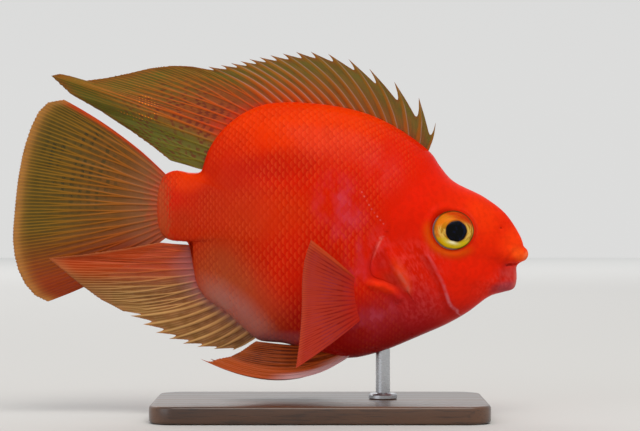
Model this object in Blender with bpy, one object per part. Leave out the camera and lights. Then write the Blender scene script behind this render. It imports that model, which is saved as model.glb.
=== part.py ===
"""Blood parrot cichlid as a still, life-size model on a plain display stand.

Metres, +Z up. The nose points along +X and the fish's right side faces -Y.
The origin is the centre of the underside of the stand's base.
Every size below is in millimetres and is scaled once, when a mesh is made.
"""

import math

import bmesh
import bpy
import numpy as np
from mathutils import Vector

MM = 0.001
GAP = 0.3

# Side outline of the flesh as x, z, from the tip of the beak over the back and round to the chin.
BODY_CENTRE = np.array([0.0, 63.4])
FOREHEAD = [(72.9, 56.4), (72.5, 58.2), (71.3, 59.5), (71.0, 60.6), (69.9, 63.4), (64.8, 71.0),
            (57.4, 76.7), (46.5, 82.4)]
NAPE = [(42.0, 87.5), (39.0, 91.9), (27.1, 100.8), (14.7, 106.4)]
BACK = [(-1.8, 109.4), (-17.9, 109.4), (-26.5, 106.2), (-34.0, 100.3), (-38.9, 93.3)]
NOTCH = [(-40.7, 88.2), (-41.7, 85.6), (-45.5, 85.2)]
STALK_END = [(-50.5, 86.0), (-54.6, 84.2), (-56.7, 79.0), (-57.1, 73.8), (-56.4, 66.0), (-54.2, 62.4)]
STALK_BELOW = [(-50.0, 61.1), (-46.3, 60.8), (-45.1, 56.4)]
VENT = [(-43.1, 46.2), (-40.0, 41.5), (-33.4, 36.9), (-25.5, 29.8), (-21.5, 26.7)]
BELLY = [(-12.0, 25.5), (-5.5, 23.4), (9.3, 20.4), (20.3, 22.4), (36.4, 28.8)]
THROAT = [(44.8, 32.5), (51.8, 36.5), (59.4, 42.0)]
CHIN = [(64.0, 43.4), (67.8, 44.7), (68.8, 47.8), (68.9, 52.6), (70.0, 53.7), (72.0, 54.7)]
OUTLINE = FOREHEAD + NAPE + BACK + NOTCH + STALK_END + STALK_BELOW + VENT + BELLY + THROAT + CHIN

# Swell of the body to each side as x, half width before it rounds off to the outline.
SWELL = [(-62.0, 4.0), (-50.0, 8.2), (-43.0, 10.0), (-33.0, 14.6), (-18.0, 18.6), (0.0, 20.9),
         (20.0, 21.6), (35.0, 20.8), (47.0, 18.6), (57.0, 15.6), (66.0, 12.2), (75.0, 9.0)]
CORE_BLUR = math.radians(16.0)
RIM_POWER = 5
# How full the section is and how sharply it closes, at mid height and what the back adds to that.
FULLNESS = (2.35, -0.3)
EDGE_POWER = (0.52, 0.07)
RELIEF_POWER = 8
BODY_SEGMENTS = 60
BODY_RINGS = 20
HEAD_FROM = 34.0
# Places round the outline where the surface is drawn finer, as extra density, angle and spread.
FINER_AT = [(2.4, -6.0, 0.22), (1.6, 154.0, 0.12), (1.2, 184.0, 0.12)]

# The eye as x, z where it breaks the skin, its half sizes along, up and outwards, how deep its middle
# lies, and how much of the flank's tilt it takes on.
EYE_AT = (46.0, 65.2)
EYE_HALF = (7.8, 7.15, 4.7)
EYE_SINK = 2.3
EYE_TILT = 0.45
NOSTRIL_AT = (63.0, 65.9)
NOSTRIL_HALF = (0.8, 0.6, 1.3)

# Relief of the face, as height, x and z, half sizes and turn: lips, cheek behind the mouth, fin root.
FACE_MOUNDS = [(1.4, (69.6, 56.4), (4.2, 2.1), 0.78), (0.9, (67.0, 50.8), (2.4, 1.8), -0.1),
               (-0.5, (62.9, 53.4), (1.6, 3.2), 0.3), (1.0, (15.0, 42.0), (3.4, 7.5), 0.0)]
# The raised skin round the eye lies at this many eye sizes from its middle, over this spread.
ORBIT_RISE = 0.35
ORBIT_AT = 1.15
ORBIT_SPREAD = 0.2
CHEEK_FOLD = [(35.5, 58.4), (37.9, 54.3), (40.0, 50.2), (42.0, 46.4), (43.4, 42.3), (44.8, 38.9),
              (47.3, 36.9)]
FOLD_RISE = 1.0
FOLD_FADE = (60.5, 53.0)
FOLD_STEP = (-0.8, 0.6)
FOLD_EASE = 4.5
SHOULDER_FOLD = [(17.4, 46.6), (22.2, 45.9), (24.9, 44.2), (26.8, 41.8)]
SHOULDER_RISE = 0.7
SHOULDER_SPREAD = 1.3

# Gill cover: the edge of the flap as x, z, the point its rings close on, its depth in the flesh, how
# far its rear edge stands off it, and the ridge that crosses it.
COVER_EDGE = [(35.0, 58.9), (28.6, 63.7), (22.2, 63.8), (18.9, 58.6), (17.2, 52.6), (18.0, 49.6),
              (22.0, 48.0), (26.6, 45.4), (29.2, 40.6), (31.6, 35.4), (36.0, 31.8), (41.2, 33.2),
              (44.9, 37.0), (43.7, 41.0), (41.6, 46.7), (38.6, 53.0)]
COVER_CENTRE = (31.5, 48.5)
COVER_RINGS = (0.3, 0.5, 0.68, 0.84, 1.0)
COVER_DEPTH = 2.6
COVER_RISE = 1.1
COVER_FREE_OVER = 15.0
POCKET_RISE = 6.0
FLAP_RIDGE = [(23.2, 57.0), (24.6, 53.3), (26.3, 50.5), (28.0, 47.5), (29.7, 44.7)]
RIDGE_RISE = 0.8
RIDGE_FADE = (59.0, 55.0)

# Thin cuts that part the flesh, each a path of x, z drawn right through the body.
GILL_CUT = [(45.0, 96.0), (41.2, 89.3), (31.5, 76.5), (23.2, 64.6), (20.0, 58.4), (18.4, 52.8),
            (19.3, 50.7), (23.2, 48.8), (27.9, 46.0), (30.4, 41.0), (32.8, 35.8), (34.9, 28.0),
            (36.0, 21.0)]
STALK_CUT = [(-42.4, 92.0), (-42.5, 85.0), (-46.6, 60.6), (-48.4, 56.0)]
JAW_CUT = [(64.9, 52.9), (62.7, 47.6), (58.9, 41.6), (57.0, 38.0)]
MOUTH_LINE = [(76.0, 53.1), (64.8, 52.9)]
MOUTH_OPENING = 0.5
CUT_REACH = 40.0
# A point of x, z inside each piece of flesh, and how far its middle may lie from that.
FLESH_MIDDLES = {"head": (48.0, 62.0), "trunk": (-5.0, 65.0), "tail_stalk": (-50.0, 73.0),
                 "lower_jaw": (65.0, 48.0)}
MIDDLE_WITHIN = 15.0

# Fins. A ray's height is half its thickness; a web is the membrane between two rays. Shares across
# are parts of the space between two rays, and shares out are parts of a ray's length.
WEB_HALF = 0.27
WEB_ROOT_HALF = 0.43
WEB_THIN_FROM = 0.35
WEB_START = 0.3
WEB_START_MOST = 0.44
RAY_HALF_WIDTH = 0.82
FORK_FROM = 0.4
FORK_START = 0.07
FORK_SPREAD = 0.22
RAY_TIP_HALF = 0.3
SPINE_HALF = 1.0
SOFT_RAY_HALF = 0.75
ROOT_SINK = 2.4

# Dorsal fin: share of the base from the front, then the x, z that the tips reach there, and the
# angles round the body's centre between which the base runs.
DORSAL_TIPS = [(0.0, 40.5, 102.7), (0.035, 36.8, 109.4), (0.085, 27.7, 115.9), (0.135, 17.5, 121.5),
               (0.185, 8.9, 125.4), (0.23, 1.4, 127.0), (0.28, -5.6, 127.6), (0.40, -19.0, 126.0),
               (0.62, -39.0, 122.3), (0.69, -55.0, 122.7), (0.76, -74.2, 118.9), (0.80, -85.0, 117.8),
               (0.84, -95.5, 121.2), (0.87, -91.0, 115.2), (0.90, -81.2, 109.5), (0.95, -63.0, 97.6),
               (1.0, -51.3, 88.6)]
DORSAL_BASE = (36.5, 151.0)
DORSAL_SPINES = 14
DORSAL_SOFT_RAYS = 12
DORSAL_SOFT_FROM = 0.655
DORSAL_BOW = math.radians(-13.0)
DORSAL_LOBE_BOW = math.radians(-1.0)
DORSAL_SWING = 8.0
DORSAL_FREE = (0.33, 0.11)

# Anal fin, the same way, from its first spine back to the tail stalk.
ANAL_TIPS = [(0.0, -30.6, 23.1), (0.12, -40.3, 23.8), (0.25, -49.7, 25.9), (0.37, -57.8, 29.4),
             (0.48, -65.1, 34.3), (0.56, -70.0, 37.5), (0.64, -76.3, 40.8), (0.72, -83.4, 46.5),
             (0.79, -88.9, 51.3), (0.85, -93.7, 55.7), (0.90, -82.3, 56.4), (0.95, -66.5, 58.8),
             (1.0, -54.5, 61.0)]
ANAL_BASE = (239.0, 184.5)
ANAL_SPINES = 7
ANAL_SOFT_RAYS = 9
ANAL_SOFT_FROM = 0.54
ANAL_BOW = math.radians(12.0)
ANAL_LOBE_BOW = math.radians(2.0)
ANAL_SWING = -9.0
ANAL_FREE = (0.15, 0.12)

# Both: the shares of the base over which the rear lobe takes over, and how far its rays lean aside.
LOBE_FROM_TO = (0.55, 0.84)
SPINES_END_BEFORE = 0.04
SPINE_CROWDING = 0.94
LAST_RAY_AT = 0.995
LEAN_MOST = 0.2
LEAN_HALFWAY = 0.42
FREE_FADES_BY = 0.3
SOFT_FREE = 0.012

# Tail fin: share of the root from the top, then the x, z of the tips.
CAUDAL_TIPS = [(0.0, -89.3, 110.6), (0.07, -95.5, 109.4), (0.15, -99.3, 104.6), (0.25, -103.0, 95.0),
               (0.40, -105.4, 84.0), (0.55, -106.9, 71.5), (0.70, -107.5, 60.2), (0.82, -105.6, 50.6),
               (0.92, -101.0, 43.0), (1.0, -95.5, 40.0)]
CAUDAL_RAYS = 15
CAUDAL_ROOT = ((-53.6, 84.3), (-54.8, 73.8), (-53.6, 62.6))
CAUDAL_TWIST = 2.4
CAUDAL_BOW = math.radians(9.0)
CAUDAL_HALVES = (0.95, 0.60)

# Pectoral fin: its root line on the flank, then tips as share from the top, x, z.
PECTORAL_ROOT = ((12.8, 47.0), (14.0, 35.8))
PECTORAL_TIPS = [(0.0, -3.0, 62.0), (0.15, -5.2, 55.0), (0.35, -6.0, 46.8), (0.55, -6.1, 39.0),
                 (0.75, -6.7, 30.2), (0.9, -7.5, 23.0), (1.0, -8.1, 18.8)]
PECTORAL_RAYS = 13
PECTORAL_SPREAD = math.radians(25.0)
PECTORAL_BOW = math.radians(6.0)
PECTORAL_BELLY = 0.62
PECTORAL_ROOT_AHEAD = 1.5
PECTORAL_HALVES = (0.8, 0.62)

# Pelvic fin: root line under the belly, then tips as share from the leading spine, x, z.
PELVIC_ROOT = ((13.4, 21.4), (8.4, 22.4))
PELVIC_TIPS = [(0.0, -41.3, 20.8), (0.2, -35.5, 20.6), (0.4, -31.0, 21.2), (0.6, -27.4, 22.4),
               (0.8, -24.4, 23.8), (1.0, -21.8, 25.0)]
PELVIC_RAYS = 6
PELVIC_SAG = (5.0, -16.3)
PELVIC_APART = 5.2
PELVIC_FLARE_BACK = 0.12
PELVIC_FLARE_DOWN = 0.30
PELVIC_ROOT_INSET = 1.0
PELVIC_SAG_FADE = 1.3
PELVIC_HALVES = (1.1, 0.7)
PELVIC_FREE = (0.1, 0.03)
LEFT_PELVIC_DROP = 1.6
LEFT_PELVIC_SHORTER = 2.5

# Display stand.
BASE_SIZE = (116.0, 68.0, 6.0)
BASE_CORNER = 9.0
BASE_EDGE = 1.0
ROD_X = 22.0
ROD_RADIUS = 2.5
ROD_TOP = 43.4
COLLAR_RADIUS = 5.0
COLLAR_HEIGHT = 2.0
COLLAR_EDGE = 0.5

COLOURS = {
    "flesh_red": ((0.72, 0.06, 0.02, 1.0), 0.38),
    "fin_orange": ((0.62, 0.16, 0.05, 1.0), 0.42),
    "eye_gold": ((0.75, 0.48, 0.06, 1.0), 0.12),
    "stand_walnut": ((0.06, 0.03, 0.015, 1.0), 0.40),
    "rod_steel": ((0.60, 0.60, 0.62, 1.0), 0.30),
}


def smooth_curve(points, per_span=10, closed=False):
    """Points along a centripetal Catmull-Rom curve through the given ones."""
    through = np.array(points, float)
    if closed:
        ends = np.vstack([through[-1], through, through[:2]])
    else:
        ends = np.vstack([2 * through[0] - through[1], through, 2 * through[-1] - through[-2]])
    found = []
    for a, b, c, d in zip(ends, ends[1:], ends[2:], ends[3:]):
        t1 = np.linalg.norm(b - a) ** 0.5
        t2 = t1 + np.linalg.norm(c - b) ** 0.5
        t3 = t2 + np.linalg.norm(d - c) ** 0.5
        for t in np.linspace(t1, t2, per_span, endpoint=False):
            ab = a + (b - a) * t / t1
            bc = b + (c - b) * (t - t1) / (t2 - t1)
            cd = c + (d - c) * (t - t2) / (t3 - t2)
            abc = ab + (bc - ab) * t / t2
            bcd = bc + (cd - bc) * (t - t1) / (t3 - t1)
            found.append(abc + (bcd - abc) * (t - t1) / (t2 - t1))
    if not closed:
        found.append(through[-1])
    return np.array(found)


def ease(value, low, high):
    """0 below low, 1 above high, smooth between."""
    t = np.clip((np.asarray(value, float) - low) / (high - low), 0.0, 1.0)
    return t * t * (3 - 2 * t)


RIM = smooth_curve(OUTLINE, 12, closed=True) - BODY_CENTRE
RIM_ANGLE = np.unwrap(np.arctan2(RIM[:, 1], RIM[:, 0]))
RIM_RADIUS = np.hypot(RIM[:, 0], RIM[:, 1])
RING = np.radians(np.arange(0.0, 360.0, 2.0))
SWELL_CURVE = smooth_curve(SWELL, 8)


def rim_radius(angle):
    """Distance from the body's centre to the outline."""
    return np.interp(angle, RIM_ANGLE, RIM_RADIUS, period=2 * math.pi)


def blurred_ring():
    """The outline's radius with its notches blurred out, for the deep part of the flank."""
    radius = rim_radius(RING)
    away = np.minimum(RING, 2 * math.pi - RING)
    weight = np.exp(-0.5 * (away / CORE_BLUR) ** 2)
    return np.fft.ifft(np.fft.fft(radius) * np.fft.fft(weight / weight.sum())).real


CORE_RADIUS = blurred_ring()


def reach(angle, share):
    """Distance from the centre at a share of the way to the outline."""
    core = np.interp(angle, RING, CORE_RADIUS, period=2 * math.pi)
    return share * (core + (rim_radius(angle) - core) * share**RIM_POWER)


def path_distance(x, z, path):
    """Shortest distance from each point to a path, positive on the left of the way it runs."""
    best = np.full(np.shape(x), np.inf)
    signed = np.zeros(np.shape(x))
    for (ax, az), (bx, bz) in zip(path, path[1:]):
        dx, dz = bx - ax, bz - az
        t = np.clip(((x - ax) * dx + (z - az) * dz) / (dx * dx + dz * dz), 0.0, 1.0)
        away = np.hypot(x - ax - t * dx, z - az - t * dz)
        left = np.where(dx * (z - az) - dz * (x - ax) >= 0, 1.0, -1.0)
        signed = np.where(away < best, away * left, signed)
        best = np.minimum(best, away)
    return signed


def bell(value, width):
    return np.exp(-((value / width) ** 2))


def step_up(distance):
    """A fold: nothing before it, 1 on its crest, easing off beyond."""
    return ease(distance, *FOLD_STEP) * np.exp(-np.maximum(distance, 0) / FOLD_EASE)


def mound(x, z, at, half_sizes, turn=0.0):
    """1 at a point, falling off as an oval bell."""
    cos, sin = math.cos(turn), math.sin(turn)
    along = ((x - at[0]) * cos + (z - at[1]) * sin) / half_sizes[0]
    across = ((z - at[1]) * cos - (x - at[0]) * sin) / half_sizes[1]
    return np.exp(-(along**2) - across**2)


def relief(x, z):
    """Sideways relief of the face and shoulder, in millimetres."""
    from_eye = np.hypot((x - EYE_AT[0]) / EYE_HALF[0], (z - EYE_AT[1]) / EYE_HALF[1])
    rise = ORBIT_RISE * bell(from_eye - ORBIT_AT, ORBIT_SPREAD)
    rise += FOLD_RISE * step_up(path_distance(x, z, CHEEK_FOLD)) * ease(z, *FOLD_FADE)
    rise += SHOULDER_RISE * bell(path_distance(x, z, SHOULDER_FOLD), SHOULDER_SPREAD)
    for height, at, half_sizes, turn in FACE_MOUNDS:
        rise += height * mound(x, z, at, half_sizes, turn)
    return rise


def half_thickness(x, z, angle, share):
    """Half the body's thickness at a point given by its place and by its share of the way out."""
    share = np.clip(share, 0.0, 1.0)
    up = np.sin(angle)
    roundness = (1 - share ** (FULLNESS[0] + FULLNESS[1] * up)) ** (EDGE_POWER[0] + EDGE_POWER[1] * up)
    width = np.interp(x, SWELL_CURVE[:, 0], SWELL_CURVE[:, 1])
    return width * roundness + relief(x, z) * (1 - share**RELIEF_POWER)


def flank(x, z):
    """Half the body's thickness at x, z."""
    angle = np.arctan2(z - BODY_CENTRE[1], x - BODY_CENTRE[0])
    distance = np.hypot(x - BODY_CENTRE[0], z - BODY_CENTRE[1])
    low = np.zeros(np.shape(distance))
    high = np.full(np.shape(distance), 1.1)
    for _ in range(30):
        middle = (low + high) / 2
        inside = reach(angle, middle) < distance
        low = np.where(inside, middle, low)
        high = np.where(inside, high, middle)
    return half_thickness(x, z, angle, low)


def outward(x, z, side):
    """Unit vector square to the flank at x, z, on the side given by the sign of side."""
    step = 1.5
    along = float(flank(x + step, z) - flank(x - step, z)) / (2 * step)
    up = float(flank(x, z + step) - flank(x, z - step)) / (2 * step)
    return Vector((-along, side, -up)).normalized()


def material(name):
    """The plain finish of that name, made once."""
    if name in bpy.data.materials:
        return bpy.data.materials[name]
    colour, roughness = COLOURS[name]
    made = bpy.data.materials.new(name)
    made.use_nodes = True
    shader = made.node_tree.nodes["Principled BSDF"]
    shader.inputs["Base Color"].default_value = colour
    shader.inputs["Roughness"].default_value = roughness
    shader.inputs["Metallic"].default_value = 1.0 if name == "rod_steel" else 0.0
    made.diffuse_color = colour
    return made


def add_object(name, mesh, finish=None):
    made = bpy.data.objects.new(name, mesh)
    bpy.context.scene.collection.objects.link(made)
    if finish:
        mesh.materials.clear()
        mesh.materials.append(material(finish))
    return made


def finished_mesh(name, work):
    """The bmesh as a mesh in metres, faces outwards, shaded smooth except at sharp edges."""
    bmesh.ops.recalc_face_normals(work, faces=work.faces)
    mesh = bpy.data.meshes.new(name)
    for vertex in work.verts:
        vertex.co *= MM
    work.to_mesh(mesh)
    work.free()
    mesh.shade_smooth()
    mesh.set_sharp_from_angle(angle=math.radians(40))
    return mesh


def mesh_of(name, points, faces):
    work = bmesh.new()
    vertices = [work.verts.new(tuple(map(float, point))) for point in points]
    for face in faces:
        work.faces.new([vertices[corner] for corner in face])
    return finished_mesh(name, work)


def discard(obj):
    bpy.data.objects.remove(obj)


def boolean(obj, other, operation):
    """Applies one exact Boolean to the object and removes the other."""
    modifier = obj.modifiers.new("boolean", "BOOLEAN")
    modifier.operation = operation
    modifier.solver = "EXACT"
    modifier.object = other
    graph = bpy.context.evaluated_depsgraph_get()
    mesh = bpy.data.meshes.new_from_object(obj.evaluated_get(graph))
    obj.modifiers.clear()
    obj.data = mesh
    discard(other)


def islands(work):
    """The connected groups of faces of a bmesh, in the order of their first faces."""
    seen = set()
    found = []
    for first in work.faces:
        if first in seen:
            continue
        seen.add(first)
        island = [first]
        for face in island:
            for edge in face.edges:
                for other in edge.link_faces:
                    if other not in seen:
                        seen.add(other)
                        island.append(other)
        found.append(island)
    return found


def loose_parts(obj):
    """Each connected part of the object as its mesh, the middle of its points and its volume."""
    work = bmesh.new()
    work.from_mesh(obj.data)
    count = len(islands(work))
    work.free()
    found = []
    for index in range(count):
        work = bmesh.new()
        work.from_mesh(obj.data)
        kept = set(islands(work)[index])
        bmesh.ops.delete(work, geom=[face for face in work.faces if face not in kept], context="FACES")
        middle = sum((vertex.co for vertex in work.verts), Vector()) / len(work.verts)
        volume = work.calc_volume()
        mesh = bpy.data.meshes.new(obj.name)
        work.to_mesh(mesh)
        work.free()
        mesh.shade_smooth()
        mesh.set_sharp_from_angle(angle=math.radians(40))
        found.append((mesh, middle, volume))
    return found


def keep_largest(obj):
    """Drops every loose scrap that a cut left behind."""
    obj.data = max(loose_parts(obj), key=lambda part: part[2])[0]


def even_angles(count):
    """Angles round the outline, set closer at the mouth and where the stalk meets the body."""
    fine = np.radians(np.arange(-60.0, 300.1, 0.5))
    density = np.ones(len(fine))
    for extra, degrees, spread in FINER_AT:
        density += extra * bell(fine - math.radians(degrees), spread)
    travelled = np.concatenate([[0], np.cumsum((density[1:] + density[:-1]) / 2)])
    return np.interp(np.arange(count + 1) / count * travelled[-1], travelled, fine)


def body_mesh(name, grow=0.0):
    """The whole of the flesh as one closed surface: a ball drawn out to the outline and the swell."""
    work = bmesh.new()
    bmesh.ops.create_uvsphere(work, u_segments=BODY_SEGMENTS, v_segments=BODY_RINGS, radius=1.0)
    angles = even_angles(BODY_SEGMENTS)

    def place(co):
        turn = math.atan2(co.y, co.x) % (2 * math.pi) / (2 * math.pi) * BODY_SEGMENTS
        angle = float(np.interp(turn, np.arange(BODY_SEGMENTS + 1), angles))
        share = min(1.0, math.hypot(co.x, co.y))
        distance = float(reach(angle, share))
        x = BODY_CENTRE[0] + distance * math.cos(angle)
        z = BODY_CENTRE[1] + distance * math.sin(angle)
        return x, z, angle, share

    in_head = [face for face in work.faces if place(face.calc_center_median().normalized())[0] > HEAD_FROM]
    edges = {edge for face in in_head for edge in face.edges}
    bmesh.ops.subdivide_edges(work, edges=list(edges), cuts=1, use_grid_fill=True)
    for vertex in work.verts:
        unit = vertex.co.normalized()
        x, z, angle, share = place(unit)
        thick = 0.0 if share > 0.99999 else float(half_thickness(x, z, angle, share))
        vertex.co = (x, -math.copysign(thick, unit.z), z)
    if grow:
        work.normal_update()
        moves = [vertex.normal * grow for vertex in work.verts]
        for vertex, move in zip(work.verts, moves):
            vertex.co += move
    bmesh.ops.triangulate(work, faces=work.faces)
    return finished_mesh(name, work)


def curtain(path, thickness):
    """A thin upright wall right through the body along a path of x, z."""
    points = np.array(path, float)
    along = np.gradient(points, axis=0)
    along /= np.linalg.norm(along, axis=1)[:, None]
    across = np.stack([-along[:, 1], along[:, 0]], axis=1) * thickness / 2
    loop = np.vstack([points + across, (points - across)[::-1]])
    work = bmesh.new()
    face = work.faces.new([work.verts.new((x, -CUT_REACH, z)) for x, z in loop])
    drawn = bmesh.ops.extrude_face_region(work, geom=[face])
    for item in drawn["geom"]:
        if isinstance(item, bmesh.types.BMVert):
            item.co.y = CUT_REACH
    bmesh.ops.triangulate(work, faces=work.faces)
    return add_object("curtain", finished_mesh("curtain", work))


def ellipsoid(name, at, half_sizes, facing, segments=20, rings=12):
    """A ball of three half sizes, the third along facing."""
    work = bmesh.new()
    bmesh.ops.create_uvsphere(work, u_segments=segments, v_segments=rings, radius=1.0)
    side = Vector((0, 0, 1)).cross(facing).normalized()
    top = facing.cross(side).normalized()
    for vertex in work.verts:
        x, y, z = vertex.co
        offset = side * x * half_sizes[0] + top * y * half_sizes[1] + facing * z * half_sizes[2]
        vertex.co = Vector(at) + offset
    bmesh.ops.triangulate(work, faces=work.faces)
    return finished_mesh(name, work)


def eye_middle(side):
    """The middle of the eyeball and the way it faces, turned less than the flank it sits in."""
    x, z = EYE_AT
    tilted = outward(x, z, side)
    facing = Vector((tilted.x * EYE_TILT, tilted.y, tilted.z * EYE_TILT)).normalized()
    surface = Vector((x, side * float(flank(x, z)), z))
    return surface - facing * EYE_SINK, facing


def cover_mesh(name, side, grow=0.0):
    """A gill cover: a plate that lies in the flank and lifts off it towards its free rear edge."""
    edge = smooth_curve(COVER_EDGE, 2, closed=True)
    middle = np.array(COVER_CENTRE)
    spokes = edge - middle
    spokes *= 1 + grow / np.linalg.norm(spokes, axis=1)[:, None]
    count = len(edge)
    flat = np.array([middle] + [middle + spoke * share for share in COVER_RINGS for spoke in spokes])
    skin = flank(flat[:, 0], flat[:, 1])
    lift = COVER_RISE * ease(np.abs(path_distance(flat[:, 0], flat[:, 1], CHEEK_FOLD)), 0.0, COVER_FREE_OVER)
    ridge = step_up(path_distance(flat[:, 0], flat[:, 1], FLAP_RIDGE))
    lift += RIDGE_RISE * ridge * ease(flat[:, 1], *RIDGE_FADE)
    top = skin + (POCKET_RISE if grow else lift)
    under = skin - COVER_DEPTH - grow
    points = [(x, side * y, z) for (x, z), y in zip(flat, top)]
    points += [(x, side * y, z) for (x, z), y in zip(flat, under)]
    layer = len(flat)
    faces = []
    for start in (0, layer):
        for i in range(count):
            j = (i + 1) % count
            faces.append((start, start + 1 + i, start + 1 + j))
            for ring in range(len(COVER_RINGS) - 1):
                a = start + 1 + ring * count
                b = a + count
                faces.append((a + i, b + i, b + j))
                faces.append((a + i, b + j, a + j))
    outer = 1 + (len(COVER_RINGS) - 1) * count
    for i in range(count):
        j = (i + 1) % count
        faces.append((outer + i, layer + outer + i, layer + outer + j))
        faces.append((outer + i, layer + outer + j, outer + j))
    return mesh_of(name, points, faces)


def along_rim(front_angle, rear_angle, shares, sink):
    """Points on the outline at shares of the way between two angles, sunk towards the centre."""
    angle = np.linspace(front_angle, rear_angle, 200)
    radius = rim_radius(angle)
    line = BODY_CENTRE + np.stack([radius * np.cos(angle), radius * np.sin(angle)], axis=1)
    travelled = np.concatenate([[0], np.cumsum(np.linalg.norm(np.diff(line, axis=0), axis=1))])
    at = np.interp(np.asarray(shares) * travelled[-1], travelled, angle)
    inner = rim_radius(at) - sink
    return BODY_CENTRE + np.stack([inner * np.cos(at), inner * np.sin(at)], axis=1)


def tips_at(table, shares):
    """The tips' x, z at each share of the root, read from a smooth curve."""
    curve = smooth_curve([(share * 100, x, z) for share, x, z in table], 8)
    at = np.asarray(shares) * 100
    return np.stack([np.interp(at, curve[:, 0], curve[:, axis]) for axis in (1, 2)], axis=1)


def bowed_control(root, tip, bow):
    """Middle control point of a ray that leaves its root turned by bow from the straight line."""
    chord = tip - root
    cos, sin = math.cos(bow), math.sin(bow)
    turned = np.array([chord[0] * cos - chord[1] * sin, chord[0] * sin + chord[1] * cos])
    return root + 0.5 * turned


def bezier(controls, v):
    """Points of a bowed ray at shares of its length."""
    v = np.asarray(v)[:, None]
    p0, p1, p2 = controls
    return p0 * (1 - v) ** 2 + p1 * 2 * v * (1 - v) + p2 * v**2


def fin_columns(rays, root_halves, free, rows, forked):
    """Centre line and half thickness of each column of a fin, ray by ray.

    A ray is three columns: its crest and a flank on each side, down to the web. A forked ray is
    five: its crest parts into two with a web between them.
    """
    v = np.linspace(0.0, 1.0, rows)
    centres = []
    halves = []

    last = len(rays) - 1
    web_half = np.interp(v, [0, WEB_THIN_FROM], [WEB_ROOT_HALF, WEB_HALF])
    fork = ease(v, FORK_FROM, 1.0)[:, None] if forked else np.zeros((rows, 1))

    def add(line, half):
        centres.append(line)
        halves.append(half)

    def add_web_beside(ray, other):
        here = bezier(rays[ray], v * (1 - free[ray]))
        across = bezier(rays[other], v * (1 - free[ray])) - here
        share = np.minimum(WEB_START, RAY_HALF_WIDTH / np.linalg.norm(across, axis=1))[:, None]
        add(here + across * np.minimum(share + FORK_SPREAD * fork, WEB_START_MOST), web_half)

    for ray in range(len(rays)):
        line = bezier(rays[ray], v)
        crest = root_halves[ray] + (RAY_TIP_HALF - root_halves[ray]) * v
        parts = forked and 0 < ray < last
        branch = FORK_START + FORK_SPREAD * fork
        if ray > 0:
            add_web_beside(ray, ray - 1)
        if parts:
            add(line + (bezier(rays[ray - 1], v) - line) * branch, crest)
        add(line, crest + (web_half - crest) * fork[:, 0] if parts else crest)
        if parts:
            add(line + (bezier(rays[ray + 1], v) - line) * branch, crest)
        if ray < last:
            add_web_beside(ray, ray + 1)
    return np.array(centres), np.array(halves)


def sheet_mesh(name, centre, half):
    """A closed sheet from its middle surface and half thickness, both faces split alike."""
    along = np.gradient(centre, axis=0)
    out = np.gradient(centre, axis=1)
    normal = np.cross(along, out)
    normal /= np.linalg.norm(normal, axis=2)[:, :, None]
    columns, rows = half.shape
    front = centre + normal * half[:, :, None]
    back = centre - normal * half[:, :, None]
    points = np.vstack([front.reshape(-1, 3), back.reshape(-1, 3)])
    layer = columns * rows
    faces = []
    for i in range(columns - 1):
        for j in range(rows - 1):
            a, b = i * rows + j, (i + 1) * rows + j
            c, d = b + 1, a + 1
            faces += [(a, b, c), (a, c, d)]
            faces += [(layer + a, layer + c, layer + b), (layer + a, layer + d, layer + c)]
    edge = [i * rows for i in range(columns)]
    edge += [(columns - 1) * rows + j for j in range(1, rows)]
    edge += [i * rows + rows - 1 for i in range(columns - 2, -1, -1)]
    edge += list(range(rows - 2, 0, -1))
    for p, q in zip(edge, edge[1:] + edge[:1]):
        faces += [(q, p, layer + p), (q, layer + p, layer + q)]
    return mesh_of(name, points, faces)


def add_fin(name, rays, root_halves, free, rows=6, forked=False):
    """A fin with its rays raised in its own surface, cut clear of the flesh it grows from."""
    centre, half = fin_columns(rays, root_halves, free, rows, forked)
    made = add_object(name, sheet_mesh(name, centre, half), "fin_orange")
    boolean(made, add_object("flesh_cutter", body_mesh("flesh_cutter", GAP)), "DIFFERENCE")
    keep_largest(made)
    return made


def ray_shares(spines, soft_rays, soft_from):
    """Where the spines and then the soft rays leave the base, as shares of it."""
    hard = np.linspace(0.0, 1.0, spines) ** SPINE_CROWDING * (soft_from - SPINES_END_BEFORE)
    soft = np.linspace(soft_from, LAST_RAY_AT, soft_rays)
    return np.concatenate([hard, soft])


def leaning_ray(root, control, tip, aside):
    """A ray of a fin on the fish's midline, its tip swung aside."""
    return [(root[0], 0, root[1]), (control[0], aside * LEAN_HALFWAY, control[1]), (tip[0], aside, tip[1])]


def median_fin(name, base, table, spines, soft_rays, soft_from, bows, swing, free_ends):
    """A dorsal or anal fin: spines with free tips in front, soft rays behind, the rear lobe bent aside."""
    shares = ray_shares(spines, soft_rays, soft_from)
    roots = along_rim(math.radians(base[0]), math.radians(base[1]), shares, ROOT_SINK)
    tips = tips_at(table, shares)
    rays = []
    for share, root, tip in zip(shares, roots, tips):
        lobe = float(ease(share, *LOBE_FROM_TO))
        control = bowed_control(root, tip, bows[0] + (bows[1] - bows[0]) * lobe)
        lean = min(LEAN_MOST * np.linalg.norm(tip - root), abs(swing))
        rays.append(leaning_ray(root, control, tip, math.copysign(lean, swing) * lobe))
    spiny = np.arange(len(rays)) < spines
    halves = np.where(spiny, SPINE_HALF, SOFT_RAY_HALF)
    first, later = free_ends
    free = np.where(spiny, first + (later - first) * ease(shares, 0.0, FREE_FADES_BY), SOFT_FREE)
    return add_fin(name, np.array(rays, float), halves, free)


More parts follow.
